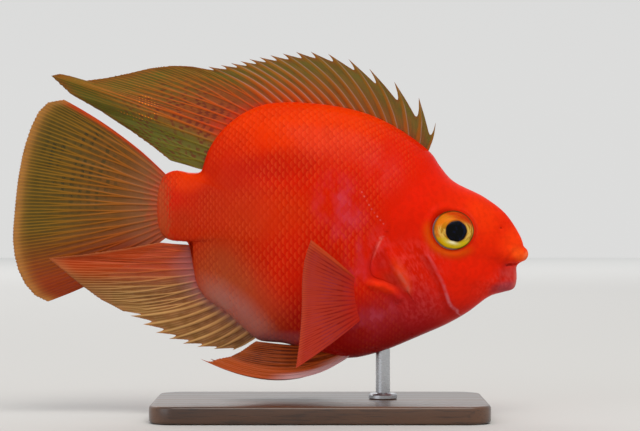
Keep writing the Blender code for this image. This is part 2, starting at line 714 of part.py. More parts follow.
def caudal_fin():
    shares = np.linspace(0.0, 1.0, CAUDAL_RAYS)
    root_curve = smooth_curve(CAUDAL_ROOT, 10)
    travelled = np.linspace(0.0, 1.0, len(root_curve))
    roots = np.stack([np.interp(shares, travelled, root_curve[:, axis]) for axis in (0, 1)], axis=1)
    tips = tips_at(CAUDAL_TIPS, shares)
    rays = []
    for share, root, tip in zip(shares, roots, tips):
        control = bowed_control(root, tip, CAUDAL_BOW * (2 * share - 1))
        rays.append(leaning_ray(root, control, tip, CAUDAL_TWIST * (2 * share - 1)))
    halves = np.interp(np.abs(2 * shares - 1), [0, 1], CAUDAL_HALVES)
    return add_fin("caudal_fin", np.array(rays, float), halves, np.full(CAUDAL_RAYS, SOFT_FREE), forked=True)


def pectoral_fin(name, side):
    shares = np.linspace(0.0, 1.0, PECTORAL_RAYS)
    top, bottom = np.array(PECTORAL_ROOT)
    tips = tips_at(PECTORAL_TIPS, shares)
    rays = []
    for share, tip in zip(shares, tips):
        root = top + (bottom - top) * share
        skin = float(flank(*root))
        lift = np.linalg.norm(tip - root) * math.tan(PECTORAL_SPREAD)
        control = bowed_control(root, tip, PECTORAL_BOW * (2 * share - 1))
        rays.append([(root[0] + PECTORAL_ROOT_AHEAD, side * (skin - ROOT_SINK), root[1]),
                     (control[0], side * (skin + PECTORAL_BELLY * lift), control[1]),
                     (tip[0], side * (skin + lift), tip[1])])
    halves = np.where(shares == 0, *PECTORAL_HALVES)
    return add_fin(name, np.array(rays, float), halves, np.full(PECTORAL_RAYS, SOFT_FREE), rows=5)


def pelvic_fin(name, side, drop, shorter):
    """drop lowers the tip and shorter draws it forwards, as the two fins aren't held quite alike."""
    shares = np.linspace(0.0, 1.0, PELVIC_RAYS)
    front, rear = np.array(PELVIC_ROOT)
    tips = tips_at(PELVIC_TIPS, shares) + np.array([shorter, -drop])
    rays = []

    def aside(x, z):
        return PELVIC_APART + PELVIC_FLARE_BACK * (front[0] - x) + PELVIC_FLARE_DOWN * (front[1] - z)

    for share, tip in zip(shares, tips):
        root = front + (rear - front) * share
        control = (root + tip) / 2 + np.array(PELVIC_SAG) * (1 - share) ** PELVIC_SAG_FADE
        rays.append([(root[0], side * (aside(*root) - PELVIC_ROOT_INSET), root[1] + ROOT_SINK),
                     (control[0], side * aside(*control), control[1]),
                     (tip[0], side * aside(*tip), tip[1])])
    halves = np.where(shares == 0, *PELVIC_HALVES)
    return add_fin(name, np.array(rays, float), halves, np.where(shares == 0, *PELVIC_FREE), rows=7)


def stand_base():
    length, width, height = BASE_SIZE
    work = bmesh.new()
    bmesh.ops.create_cube(work, size=1.0)
    for vertex in work.verts:
        vertex.co = (vertex.co.x * length, vertex.co.y * width, (vertex.co.z + 0.5) * height)
    upright = [edge for edge in work.edges if abs(edge.verts[0].co.z - edge.verts[1].co.z) > height / 2]
    bmesh.ops.bevel(work, geom=upright, offset=BASE_CORNER, segments=6, profile=0.5, affect="EDGES")
    top = [edge for edge in work.edges if min(vertex.co.z for vertex in edge.verts) > height - 0.01]
    bmesh.ops.bevel(work, geom=top, offset=BASE_EDGE, segments=2, profile=0.5, affect="EDGES")
    return add_object("stand_base", finished_mesh("stand_base", work), "stand_walnut")


def stand_rod(sides=20):
    """A rod with a collar at its foot, turned round its own axis and cut to the belly above."""
    foot = BASE_SIZE[2] + GAP
    collar_top = foot + COLLAR_HEIGHT
    profile = [(0.0, foot), (COLLAR_RADIUS, foot), (COLLAR_RADIUS, collar_top - COLLAR_EDGE),
               (COLLAR_RADIUS - COLLAR_EDGE, collar_top), (ROD_RADIUS, collar_top),
               (ROD_RADIUS, ROD_TOP), (0.0, ROD_TOP)]
    work = bmesh.new()
    line = [work.verts.new((ROD_X + radius, 0.0, z)) for radius, z in profile]
    edges = [work.edges.new(pair) for pair in zip(line, line[1:])]
    bmesh.ops.spin(work, geom=line + edges, cent=(ROD_X, 0.0, 0.0), axis=(0, 0, 1),
                   angle=2 * math.pi, steps=sides, use_merge=True)
    bmesh.ops.remove_doubles(work, verts=work.verts, dist=1e-4)
    made = add_object("stand_rod", finished_mesh("stand_rod", work), "rod_steel")
    boolean(made, add_object("flesh_cutter", body_mesh("flesh_cutter", GAP)), "DIFFERENCE")
    keep_largest(made)
    return made


def part_flesh():
    """Cuts the body into head, lower jaw, trunk and tail stalk, with room for eyes and gill covers."""
    body = add_object("body", body_mesh("body"))
    for side in (-1, 1):
        at, facing = eye_middle(side)
        roomy = [size + GAP for size in EYE_HALF]
        boolean(body, add_object("socket", ellipsoid("socket", at, roomy, facing)), "DIFFERENCE")
        boolean(body, add_object("pocket", cover_mesh("pocket", side, GAP)), "DIFFERENCE")
        x, z = NOSTRIL_AT
        hole = ellipsoid("nostril", (x, side * float(flank(x, z)), z), NOSTRIL_HALF, outward(x, z, side),
                         segments=10, rings=6)
        boolean(body, add_object("nostril", hole), "DIFFERENCE")
    boolean(body, curtain(GILL_CUT, GAP), "DIFFERENCE")
    boolean(body, curtain(STALK_CUT, GAP), "DIFFERENCE")
    boolean(body, curtain(JAW_CUT, GAP), "DIFFERENCE")
    boolean(body, curtain(MOUTH_LINE, MOUTH_OPENING), "DIFFERENCE")
    found = {}
    for mesh, middle, volume in loose_parts(body):
        for name, (x, z) in FLESH_MIDDLES.items():
            away = math.hypot(middle.x / MM - x, middle.z / MM - z)
            if away < MIDDLE_WITHIN and volume > found.get(name, (None, 0.0))[1]:
                found[name] = (mesh, volume)
    for name, (mesh, _) in found.items():
        mesh.name = name
        add_object(name, mesh, "flesh_red")
    discard(body)


def add_eyes_and_covers():
    for word, side in (("right", -1), ("left", 1)):
        at, facing = eye_middle(side)
        add_object("eye_" + word, ellipsoid("eye_" + word, at, EYE_HALF, facing), "eye_gold")
        name = "gill_cover_" + word
        add_object(name, cover_mesh(name, side), "flesh_red")


def main():
    for obj in list(bpy.data.objects):
        bpy.data.objects.remove(obj)
    part_flesh()
    add_eyes_and_covers()
    median_fin("dorsal_fin", DORSAL_BASE, DORSAL_TIPS, DORSAL_SPINES, DORSAL_SOFT_RAYS,
               DORSAL_SOFT_FROM, (DORSAL_BOW, DORSAL_LOBE_BOW), DORSAL_SWING, DORSAL_FREE)
    median_fin("anal_fin", ANAL_BASE, ANAL_TIPS, ANAL_SPINES, ANAL_SOFT_RAYS,
               ANAL_SOFT_FROM, (ANAL_BOW, ANAL_LOBE_BOW), ANAL_SWING, ANAL_FREE)
    caudal_fin()
    pectoral_fin("pectoral_fin_right", -1)
    pectoral_fin("pectoral_fin_left", 1)
    pelvic_fin("pelvic_fin_right", -1, 0.0, 0.0)
    pelvic_fin("pelvic_fin_left", 1, LEFT_PELVIC_DROP, LEFT_PELVIC_SHORTER)
    stand_base()
    stand_rod()


main()
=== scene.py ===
"""Looks of the blood parrot cichlid on its display stand.

Sizes are in millimetres and are scaled once, when a mesh is made. A place on the fish is given as x, z, seen
from its right side: the nose points along +X, and the right side faces -Y, towards the camera. A side is
given by the sign of its Y.
"""

import math
from functools import partial

import bpy
import numpy as np
from mathutils import Matrix, Vector


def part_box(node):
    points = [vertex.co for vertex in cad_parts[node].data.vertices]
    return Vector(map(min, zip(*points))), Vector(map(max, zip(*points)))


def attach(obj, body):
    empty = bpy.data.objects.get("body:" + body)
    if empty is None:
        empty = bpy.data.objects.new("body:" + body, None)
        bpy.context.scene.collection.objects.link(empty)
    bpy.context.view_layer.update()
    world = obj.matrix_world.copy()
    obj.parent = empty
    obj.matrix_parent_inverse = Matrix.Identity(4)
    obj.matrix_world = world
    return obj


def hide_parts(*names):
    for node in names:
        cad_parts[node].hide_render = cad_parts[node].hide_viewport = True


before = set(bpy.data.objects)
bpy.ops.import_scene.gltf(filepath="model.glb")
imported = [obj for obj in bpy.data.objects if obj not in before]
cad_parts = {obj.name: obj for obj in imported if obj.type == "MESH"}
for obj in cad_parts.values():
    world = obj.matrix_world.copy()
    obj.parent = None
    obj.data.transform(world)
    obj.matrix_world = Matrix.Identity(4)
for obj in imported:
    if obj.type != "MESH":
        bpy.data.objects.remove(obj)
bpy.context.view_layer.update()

MM = 0.001
RANDOM = np.random.default_rng(7)
SIDES = (("right", -1), ("left", 1))

# Flesh outline seen from the side, from the beak over the back and round to the chin.
BODY_CENTRE = np.array([0.0, 63.4])
FOREHEAD = [(72.9, 56.4), (72.5, 58.2), (71.3, 59.5), (71.0, 60.6), (69.9, 63.4), (64.8, 71.0),
            (57.4, 76.7), (46.5, 82.4)]
NAPE = [(42.0, 87.5), (39.0, 91.9), (27.1, 100.8), (14.7, 106.4)]
BACK = [(-1.8, 109.4), (-17.9, 109.4), (-26.5, 106.2), (-34.0, 100.3), (-38.9, 93.3)]
NOTCH = [(-40.7, 88.2), (-41.7, 85.6), (-45.5, 85.2)]
STALK_END = [(-50.5, 86.0), (-54.6, 84.2), (-56.7, 79.0), (-57.1, 73.8), (-56.4, 66.0), (-54.2, 62.4)]
STALK_BELOW = [(-50.0, 61.1), (-46.3, 60.8), (-45.1, 56.4)]
VENT = [(-43.1, 46.2), (-40.0, 41.5), (-33.4, 36.9), (-25.5, 29.8), (-21.5, 26.7)]
BELLY = [(-12.0, 25.5), (-5.5, 23.4), (9.3, 20.4), (20.3, 22.4), (36.4, 28.8)]
THROAT = [(44.8, 32.5), (51.8, 36.5), (59.4, 42.0)]
CHIN = [(64.0, 43.4), (67.8, 44.7), (68.8, 47.8), (68.9, 52.6), (70.0, 53.7), (72.0, 54.7)]
OUTLINE = FOREHEAD + NAPE + BACK + NOTCH + STALK_END + STALK_BELOW + VENT + BELLY + THROAT + CHIN
SWELL = [(-62.0, 4.0), (-50.0, 8.2), (-43.0, 10.0), (-33.0, 14.6), (-18.0, 18.6), (0.0, 20.9),
         (20.0, 21.6), (35.0, 20.8), (47.0, 18.6), (57.0, 15.6), (66.0, 12.2), (75.0, 9.0)]
CORE_BLUR = math.radians(16.0)
SKIN_SEGMENTS = 400
SKIN_RINGS = 220

# Face: creases, ridges and pale lines. The pale lines are painted highlights, and the creases carry painted
# shade.
LIP_CREASE = [(71.4, 59.7), (69.6, 59.3), (67.2, 57.8), (65.3, 55.6), (64.0, 52.6)]
MOUTH_SLIT = [(71.5, 54.0), (68.0, 53.2), (64.8, 52.9)]
JAW_CREASE = [(64.2, 52.4), (62.7, 47.6), (59.2, 42.4)]
CHEEK_FOLD = [(35.5, 58.4), (37.9, 54.3), (40.0, 50.2), (42.0, 46.4), (43.4, 42.3), (44.8, 38.9),
              (47.3, 36.9)]
FLAP_RIDGE = [(23.2, 57.0), (24.6, 53.3), (26.3, 50.5), (28.0, 47.5), (29.7, 44.7)]
SHOULDER_FOLD = [(17.4, 46.6), (22.2, 45.9), (24.9, 44.2), (26.8, 41.8)]
FLAP_LIGHT = [(21.4, 62.4), (19.6, 58.0), (17.6, 53.0)]
FLAP_CORNER = (21.0, 62.4)
CHIN_LIGHT = [(68.6, 52.0), (68.4, 47.6), (67.4, 44.9)]
PORE_LINE = [(14.3, 78.2), (17.6, 72.4), (21.6, 67.4)]
NOSTRIL_AT = (63.0, 65.9)

# The eye: where it breaks the skin, its half sizes along, up and outwards, its rim and how deep it lies.
EYE_AT = (46.0, 65.2)
EYE_HALF = (7.8, 7.15, 4.7)
EYE_RIM_HEIGHT = 1.45
EYE_SINK = 2.3
PUPIL_RADIUS = 3.72
PUPIL_SHIFT = (0.44, -0.5)
# Share of the skin's slope that the eye follows.
EYE_AHEAD = 0.45
LENS_PROUD = 0.12
# How fast the iris's folds change round it and outwards.
IRIS_SWIRL = (1.7, 9.0)

# Gill flap: its edge, the point its rings close on, and the stretch of edge that lies under the skin.
COVER_EDGE = [(35.0, 58.9), (28.6, 63.7), (22.2, 63.8), (18.9, 58.6), (17.2, 52.6), (18.0, 49.6),
              (22.0, 48.0), (26.6, 45.4), (29.2, 40.6), (31.6, 35.4), (36.0, 31.8), (41.2, 33.2),
              (44.9, 37.0), (43.7, 41.0), (41.6, 46.7), (38.6, 53.0)]
COVER_CENTRE = (31.5, 48.5)
COVER_HIDDEN = [(24.0, 65.5), (29.6, 65.0), (36.5, 60.0), (40.2, 53.0), (43.4, 46.5), (46.0, 39.5),
                (46.5, 35.5), (41.5, 31.0), (35.6, 29.6)]
COVER_RISE = 0.9
COVER_SINK = 0.45
COVER_THICKNESS = 0.75
SEAT_DEPTH = 0.5

# Fins: share of the base, then the x, z that the tips reach there.
DORSAL_TIPS = [(0.0, 40.5, 102.7), (0.035, 36.8, 109.4), (0.085, 27.7, 115.9), (0.135, 17.5, 121.5),
               (0.185, 8.9, 125.4), (0.23, 1.4, 127.0), (0.28, -5.6, 127.6), (0.40, -19.0, 126.0),
               (0.62, -39.0, 122.3), (0.69, -55.0, 122.7), (0.76, -74.2, 118.9), (0.80, -85.0, 117.8),
               (0.84, -95.5, 121.2), (0.87, -91.0, 115.2), (0.90, -81.2, 109.5), (0.95, -63.0, 97.6),
               (1.0, -51.3, 88.6)]
ANAL_TIPS = [(0.0, -30.6, 23.1), (0.12, -40.3, 23.8), (0.25, -49.7, 25.9), (0.37, -57.8, 29.4),
             (0.48, -65.1, 34.3), (0.56, -70.0, 37.5), (0.64, -76.3, 40.8), (0.72, -83.4, 46.5),
             (0.79, -88.9, 51.3), (0.85, -93.7, 55.7), (0.90, -82.3, 56.4), (0.95, -66.5, 58.8),
             (1.0, -54.5, 61.0)]
CAUDAL_TIPS = [(0.0, -89.3, 110.6), (0.07, -95.5, 109.4), (0.15, -99.3, 104.6), (0.25, -103.0, 95.0),
               (0.40, -105.4, 84.0), (0.55, -106.9, 71.5), (0.70, -107.5, 60.2), (0.82, -105.6, 50.6),
               (0.92, -101.0, 43.0), (1.0, -95.5, 40.0)]
CAUDAL_ROOT = ((-53.6, 84.3), (-54.8, 73.8), (-53.6, 62.6))
PECTORAL_ROOT = ((12.8, 47.0), (14.0, 35.8))
PECTORAL_TIPS = [(0.0, -3.0, 62.0), (0.15, -5.2, 55.0), (0.35, -6.0, 46.8), (0.55, -6.1, 39.0),
                 (0.75, -6.7, 30.2), (0.9, -7.5, 23.0), (1.0, -8.1, 18.8)]
PECTORAL_SPREAD = math.radians(25.0)
PELVIC_SHIFT = {"right": (0.0, 0.0), "left": (2.5, -1.6)}
PELVIC_ROOT = ((13.4, 21.4), (8.4, 22.4))
PELVIC_TIPS = [(0.0, -41.3, 20.8), (0.2, -35.5, 20.6), (0.4, -31.0, 21.4), (0.6, -27.6, 23.0),
               (0.8, -24.8, 24.9), (1.0, -22.2, 26.6)]
ROOT_SINK = 2.4
# Fine fibres that the membrane shows between two rays.
FIN_STRIPES = 4

# Rod: radius and height of each step of its collar, and how far it goes into the belly.
ROD_STEPS = [(4.6, 0.0), (5.0, 0.4), (5.0, 1.5), (4.5, 2.0), (2.9, 2.0), (2.5, 2.3)]
ROD_SINK = 1.5

# Softboxes: place and size in metres, power in watts and tint. The floor lies just under the stand.
SOFTBOXES = [("key_softbox", (0.37, -1.25, 2.0), (1.7, 1.2), 29.0, "#fffaf2"),
             ("fill_softbox", (-1.7, -1.5, 0.65), (1.5, 1.5), 9.5, "#f4f8ff"),
             ("back_softbox", (-0.5, 1.75, 1.5), (2.0, 1.0), 18.0, "#ffffff")]
FLOOR_GAP = 0.2

# Camera: the photo's frame is 224 mm wide at the fish's middle.
CAMERA_DISTANCE = 800.0
CAMERA_HEIGHT = 70.2
FRAME_WIDTH = 224.0
SENSOR = 36.0

# Relief of the face and flank: bells along a path by height, path and width, and mounds by height, place,
# half sizes and turn. In order, these are the upper lip, the lower lip, the hollow at the corner of the
# mouth, the bulge and the knob of the jaw, the muscle behind it and the root of the pectoral fin.
RELIEF_LINES = [(0.9, SHOULDER_FOLD, 1.3), (-0.55, LIP_CREASE, 0.8), (-0.3, JAW_CREASE, 1.1)]
RELIEF_MOUNDS = [
    (1.4, (69.6, 56.4), (4.4, 2.3), 0.78), (0.9, (67.0, 50.8), (2.6, 1.9), -0.1),
    (-0.5, (62.7, 52.6), (1.7, 1.3), 0.2), (0.25, (58.6, 47.4), (2.2, 1.4), 0.9),
    (0.3, (63.2, 49.2), (0.6, 0.6), 0.0), (0.35, (59.0, 50.5), (4.0, 3.4), 0.5),
    (1.0, (15.0, 42.0), (3.4, 7.5), 0.0),
]

# Shadows along the folds of the face: strength, path, width and offset.
FACE_SHADOWS = [(0.45, FLAP_RIDGE, 1.1, -1.2), (0.35, LIP_CREASE, 0.8, 0.0), (0.45, JAW_CREASE, 0.9, 0.0)]

# Scales: size along and across, steps between columns and rows, how far the free edge stands up, how deep
# the root and the underside lie, points round each scale, its size on the baked map, and the step of the
# sections of the flank that the scales are laid on.
SCALE_LONG = 4.125
SCALE_TALL = 4.026
COLUMN_STEP = 1.35
ROW_STEP = 3.3
SCALE_PROUD = 0.05
SCALE_SINK = 0.08
SCALE_ROOT = 0.3
SCALE_POINTS = 12
PATCH_SIZE = 0.003
GIRTH_STEP = 0.5
# Where the scales end in front, over the gill opening and up to the nape, from the belly up.
SCALE_FRONT = np.array([(34.8, 26.0), (31.0, 33.0), (28.2, 38.6), (25.6, 43.2), (22.0, 45.8), (17.0, 48.6),
                        (15.8, 52.6), (17.5, 60.5), (22.5, 66.0), (30.0, 76.5), (40.0, 86.0), (43.5, 96.0)])


def smooth_curve(points, per_span=10, closed=False):
    """Points along a centripetal Catmull-Rom curve through the given ones."""
    through = np.array(points, float)
    if closed:
        ends = np.vstack([through[-1], through, through[:2]])
    else:
        ends = np.vstack([2 * through[0] - through[1], through, 2 * through[-1] - through[-2]])
    found = []
    for a, b, c, d in zip(ends, ends[1:], ends[2:], ends[3:]):
        t1 = np.linalg.norm(b - a) ** 0.5
        t2 = t1 + np.linalg.norm(c - b) ** 0.5
        t3 = t2 + np.linalg.norm(d - c) ** 0.5
        for t in np.linspace(t1, t2, per_span, endpoint=False):
            ab = a + (b - a) * t / t1
            bc = b + (c - b) * (t - t1) / (t2 - t1)
            cd = c + (d - c) * (t - t2) / (t3 - t2)
            abc = ab + (bc - ab) * t / t2
            bcd = bc + (cd - bc) * (t - t1) / (t3 - t1)
            found.append(abc + (bcd - abc) * (t - t1) / (t2 - t1))
    if not closed:
        found.append(through[-1])
    return np.array(found)


def ease(value, low, high):
    """0 below low, 1 above high, smooth between."""
    t = np.clip((np.asarray(value, float) - low) / (high - low), 0.0, 1.0)
    return t * t * (3 - 2 * t)


RIM = smooth_curve(OUTLINE, 14, closed=True) - BODY_CENTRE
RIM_ANGLE = np.unwrap(np.arctan2(RIM[:, 1], RIM[:, 0]))
RIM_RADIUS = np.hypot(RIM[:, 0], RIM[:, 1])
RING = np.radians(np.arange(0.0, 360.0, 2.0))
SWELL_CURVE = smooth_curve(SWELL, 8)


def rim_radius(angle):
    """Distance from the body's centre to the outline."""
    return np.interp(angle, RIM_ANGLE, RIM_RADIUS, period=2 * math.pi)


def blurred_ring():
    """The outline's radius with its notches blurred out, for the deep part of the flank."""
    away = np.minimum(RING, 2 * math.pi - RING)
    weight = np.exp(-0.5 * (away / CORE_BLUR) ** 2)
    return np.fft.ifft(np.fft.fft(rim_radius(RING)) * np.fft.fft(weight / weight.sum())).real


CORE_RADIUS = blurred_ring()


def reach(angle, share):
    """Distance from the centre at a share of the way to the outline."""
    core = np.interp(angle, RING, CORE_RADIUS, period=2 * math.pi)
    return share * (core + (rim_radius(angle) - core) * share**5)


def path_distance(x, z, path):
    """Shortest distance from each point to a path, positive on the left of the way it runs."""
    best = np.full(np.shape(x), np.inf)
    signed = np.zeros(np.shape(x))
    for (ax, az), (bx, bz) in zip(path, path[1:]):
        dx, dz = bx - ax, bz - az
        t = np.clip(((x - ax) * dx + (z - az) * dz) / (dx * dx + dz * dz), 0.0, 1.0)
        away = np.hypot(x - ax - t * dx, z - az - t * dz)
        left = np.where(dx * (z - az) - dz * (x - ax) >= 0, 1.0, -1.0)
        signed = np.where(away < best, away * left, signed)
        best = np.minimum(best, away)
    return signed


def bell(value, width):
    return np.exp(-((value / width) ** 2))


def beside(x, z, path, width, offset=0.0):
    """1 on the line at an offset to the left of a path, falling off as a bell."""
    return bell(path_distance(x, z, path) - offset, width)


def mound(x, z, at, half_sizes, turn=0.0):
    """1 at a point, falling off as an oval bell."""
    cos, sin = math.cos(turn), math.sin(turn)
    along = ((x - at[0]) * cos + (z - at[1]) * sin) / half_sizes[0]
    across = ((z - at[1]) * cos - (x - at[0]) * sin) / half_sizes[1]
    return np.exp(-(along**2) - across**2)


def lap(from_line):
    """Rise of a fold beside its line: a steep front, then a slow fall over a few millimetres."""
    return ease(from_line, -1.3, 1.0) * np.exp(-np.maximum(from_line, 0) / 5.0)


def from_eye(x, z):
    """Distance from the eye's middle, as a share of the eyeball's half sizes."""
    return np.hypot((x - EYE_AT[0]) / EYE_HALF[0], (z - EYE_AT[1]) / EYE_HALF[1])


def relief(x, z):
    """Sideways relief of the face and shoulder, in millimetres."""
    eye = from_eye(x, z)
    nostril = np.hypot(x - NOSTRIL_AT[0], z - NOSTRIL_AT[1])
    fold = path_distance(x, z, CHEEK_FOLD)
    rise = 0.3 * bell(eye - 1.1, 0.22) - 0.15 * bell(eye - 1.5, 0.18)
    rise += 0.3 * bell(nostril - 1.15, 0.45) - 1.1 * bell(nostril, 0.6)
    rise += (0.85 * lap(fold) - 0.4 * bell(fold + 1.9, 1.7)) * ease(z, 60.5, 53.0)
    for height, path, width in RELIEF_LINES:
        rise += height * beside(x, z, path, width)
    for height, at, half_sizes, turn in RELIEF_MOUNDS:
        rise += height * mound(x, z, at, half_sizes, turn)
    return rise - flap_seat(x, z)


def flap_open(z):
    """How far the gill flap stands open at each height: wide behind, nearly closed under the throat."""
    return 0.2 + 0.6 * ease(z, 43.0, 55.0)


def flap_seat(x, z):
    """Depth of the hollow that the flap's free edge lies over."""
    inside = path_distance(x, z, COVER_EDGE[2:11])
    return SEAT_DEPTH * ease(inside, -0.8, 1.0) * bell(inside, 3.4) * flap_open(z)


def mark_face(obj, x, z):
    """Keeps painted highlights and painted shade along the folds of the face, and the gold round the eye, as
    attributes, for the skin's colours.
    """
    eye = from_eye(x, z)
    # Painted highlights: along the gill flap's upper edge, down the chin's front and at the flap's top
    # corner.
    pale = 0.5 * beside(x, z, FLAP_LIGHT, 0.4, -0.5) * ease(z, 53.5, 61.0)
    pale += 0.5 * beside(x, z, CHIN_LIGHT, 0.7)
    pale += 0.4 * bell(np.hypot(x - FLAP_CORNER[0], z - FLAP_CORNER[1]), 0.6)
    # Painted shade: behind the cheek fold, under the gill flap's free edge, in a thin ring round the eye and
    # along the face's shadows.
    dark = 0.5 * beside(x, z, CHEEK_FOLD, 1.2, -1.2) * ease(z, 60.0, 54.0)
    dark += 0.6 * beside(x, z, COVER_EDGE[3:9], 1.1, -0.6) * flap_open(z) + 0.55 * bell(eye - 0.97, 0.05)
    for strength, path, width, offset in FACE_SHADOWS:
        dark += strength * beside(x, z, path, width, offset)
    below = ease((EYE_AT[1] - z) * 0.85 - (x - EYE_AT[0]) * 0.5, 0.0, 5.0)
    set_attributes(obj, pale=np.clip(pale, 0, 1), dark=np.clip(dark, 0, 1),
                   gold=bell(eye - 1.16, 0.2) * below,
                   # The flap's ridge and the line beside the cheek fold also get painted highlights, placed
                   # by the next three values.
                   ridge=0.5 * beside(x, z, FLAP_RIDGE, 0.8, 0.7) * ease(z, 53.0, 50.0),
                   from_fold=np.clip(path_distance(x, z, smooth_curve(CHEEK_FOLD, 4)), -4.0, 4.0),
                   down_fold=ease(z, 58.6, 56.0) * (0.22 + 0.45 * ease(z, 50.0, 40.0)))


def mouth_depth(x, z):
    """How far the slit of the mouth is pressed in, as a share of the thickness there."""
    return ease(0.55 - np.abs(path_distance(x, z, MOUTH_SLIT)), 0.0, 0.4) * ease(x, 64.3, 65.6)


def half_thickness(x, z, angle, share):
    """Half the body's thickness at a point given by its place and by its share of the way out."""
    share = np.clip(share, 0.0, 1.0)
    up = np.sin(angle)
    roundness = (1 - share ** (2.35 - 0.3 * up)) ** (0.52 + 0.07 * up)
    width = np.interp(x, SWELL_CURVE[:, 0], SWELL_CURVE[:, 1])
    thick = width * roundness + relief(x, z) * (1 - share**8)
    return np.maximum(thick, 0.0) * (1 - 0.6 * mouth_depth(x, z))


def flank(x, z):
    """Half the body's thickness at x, z."""
    x, z = np.asarray(x, float), np.asarray(z, float)
    angle = np.arctan2(z - BODY_CENTRE[1], x - BODY_CENTRE[0])
    distance = np.hypot(x - BODY_CENTRE[0], z - BODY_CENTRE[1])
    low = np.zeros(np.shape(distance))
    high = np.full(np.shape(distance), 1.1)
    for _ in range(28):
        middle = (low + high) / 2
        inside = reach(angle, middle) < distance
        low = np.where(inside, middle, low)
        high = np.where(inside, high, middle)
    return half_thickness(x, z, angle, low)


def outward(x, z, side):
    """Unit vector square to the flank at x, z, on the side given by the sign of side."""
    step = 1.5
    along = float(flank(x + step, z) - flank(x - step, z)) / (2 * step)
    up = float(flank(x, z + step) - flank(x, z - step)) / (2 * step)
    return Vector((-along, side, -up)).normalized()


def eye_frame(side):
    """The eye's middle and its along, up and outward directions."""
    x, z = EYE_AT
    facing = outward(x, z, side)
    facing = Vector((facing.x * EYE_AHEAD, facing.y, facing.z * EYE_AHEAD)).normalized()
    along = Vector((0, 0, 1)).cross(facing).normalized() * -side
    up = (facing.cross(along) * -side).normalized()
    surface = Vector((x, side * float(flank(x, z)), z))
    return surface - facing * EYE_SINK, along, up, facing


def srgb(code):
    """A colour written as #rrggbb, as the linear values that shaders take."""
    parts = [int(code[i:i + 2], 16) / 255 for i in (1, 3, 5)]
    return tuple(v / 12.92 if v <= 0.04045 else ((v + 0.055) / 1.055) ** 2.4 for v in parts) + (1.0,)


def deselect():
    for obj in bpy.context.selected_objects:
        obj.select_set(False)


def named(name):
    """The primitive that was just added, under its own name."""
    made = bpy.context.object
    made.name = name
    made.data.name = name
    return made


def apply_modifiers(obj):
    deselect()
    obj.select_set(True)
    bpy.context.view_layer.objects.active = obj
    for modifier in list(obj.modifiers):
        bpy.ops.object.modifier_apply(modifier=modifier.name)


def settle(obj):
    """Puts the object's place and turn into its mesh, so that its object sits at the origin."""
    bpy.context.view_layer.update()
    obj.data.transform(obj.matrix_world)
    obj.matrix_world = Matrix.Identity(4)


def write_points(obj, points):
    obj.data.vertices.foreach_set("co", (np.asarray(points, float) * MM).ravel())
    obj.data.update()


def read_points(obj):
    points = np.empty(len(obj.data.vertices) * 3)
    obj.data.vertices.foreach_get("co", points)
    return points.reshape(-1, 3)


def set_attributes(obj, **values):
    """Keeps a number for each point under each name, for the materials to read."""
    for name, numbers in values.items():
        kept = obj.data.attributes.new(name, "FLOAT", "POINT")
        kept.data.foreach_set("value", np.asarray(numbers, float).ravel())


def shade_smooth(obj, finish):
    obj.data.shade_smooth()
    obj.data.materials.clear()
    obj.data.materials.append(finish)


def joined_mesh(name, points, faces, finish):
    """One object from arrays of points in millimetres and of faces."""
    mesh = bpy.data.meshes.new(name)
    mesh.from_pydata((points * MM).tolist(), [], faces.tolist())
    made = bpy.data.objects.new(name, mesh)
    bpy.context.scene.collection.objects.link(made)
    shade_smooth(made, finish)
    return made


def fan(centre, ring):
    """Triangles from one point to a closed ring, by their numbers."""
    return np.stack([np.full(len(ring), centre), ring, np.roll(ring, -1)], axis=1)


def band(ring, next_ring):
    """Triangles between two closed rings, by their numbers."""
    ahead, next_ahead = np.roll(ring, -1), np.roll(next_ring, -1)
    corners = ((ring, next_ring, next_ahead), (ring, next_ahead, ahead))
    return np.vstack([np.stack(three, axis=1) for three in corners])


def rest_on_frame(piece, slot, *nodes):
    """Attaches a piece to the root and hides the CAD nodes that it stands for; slot is not used."""
    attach(piece, "root")
    if nodes:
        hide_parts(*nodes)


# Materials.

# For each word: Blender's node, the output that is read, the names of the values in the order in which
# they are given, and the usual settings.
NODES = {
    "place": ("TexCoord", "Object", (), {}),
    "sky": ("TexCoord", "Generated", (), {}),
    "attribute": ("Attribute", "Fac", ("attribute_name",), {}),
    "place_of": ("CombineXYZ", "Vector", ("X", "Y", "Z"), {}),
    "height_of": ("SeparateXYZ", "Z", ("Vector",), {}),
    "length_of": ("VectorMath", "Value", (0,), {"operation": "LENGTH"}),
    "placed": ("Mapping", "Vector", ("Vector", "Location", "Rotation", "Scale"), {"vector_type": "TEXTURE"}),
    "oval": ("TexGradient", "Fac", ("Vector",), {"gradient_type": "SPHERICAL"}),
    "noise": ("TexNoise", "Fac", ("Vector", "Scale", "Detail", "Roughness"), {}),
    "bands": ("TexWave", "Fac", ("Vector", "Scale", "Distortion", "Detail", "Detail Scale"), {}),
    "ramp": ("MapRange", "Result", ("Value", "From Min", "From Max", "To Min", "To Max"),
             {"interpolation_type": "SMOOTHSTEP"}),
    "both": ("Math", "Value", (0, 1), {"operation": "MULTIPLY", "use_clamp": True}),
    "times": ("Math", "Value", (0, 1), {"operation": "MULTIPLY"}),
    "times_plus": ("Math", "Value", (0, 1, 2), {"operation": "MULTIPLY_ADD"}),
    "minus": ("Math", "Value", (0, 1), {"operation": "SUBTRACT"}),
    "unsigned": ("Math", "Value", (0,), {"operation": "ABSOLUTE"}),
    "sine": ("Math", "Value", (0,), {"operation": "SINE"}),
    "mix": ("MixRGB", "Color", ("Fac", "Color1", "Color2"), {}),
    "bump": ("Bump", "Normal", ("Height", "Strength", "Distance"), {}),
}


def fill(tree, socket, value):
    """Gives a socket a value or a link."""
    if isinstance(value, bpy.types.NodeSocket):
        tree.links.new(value, socket)
    else:
        socket.default_value = value


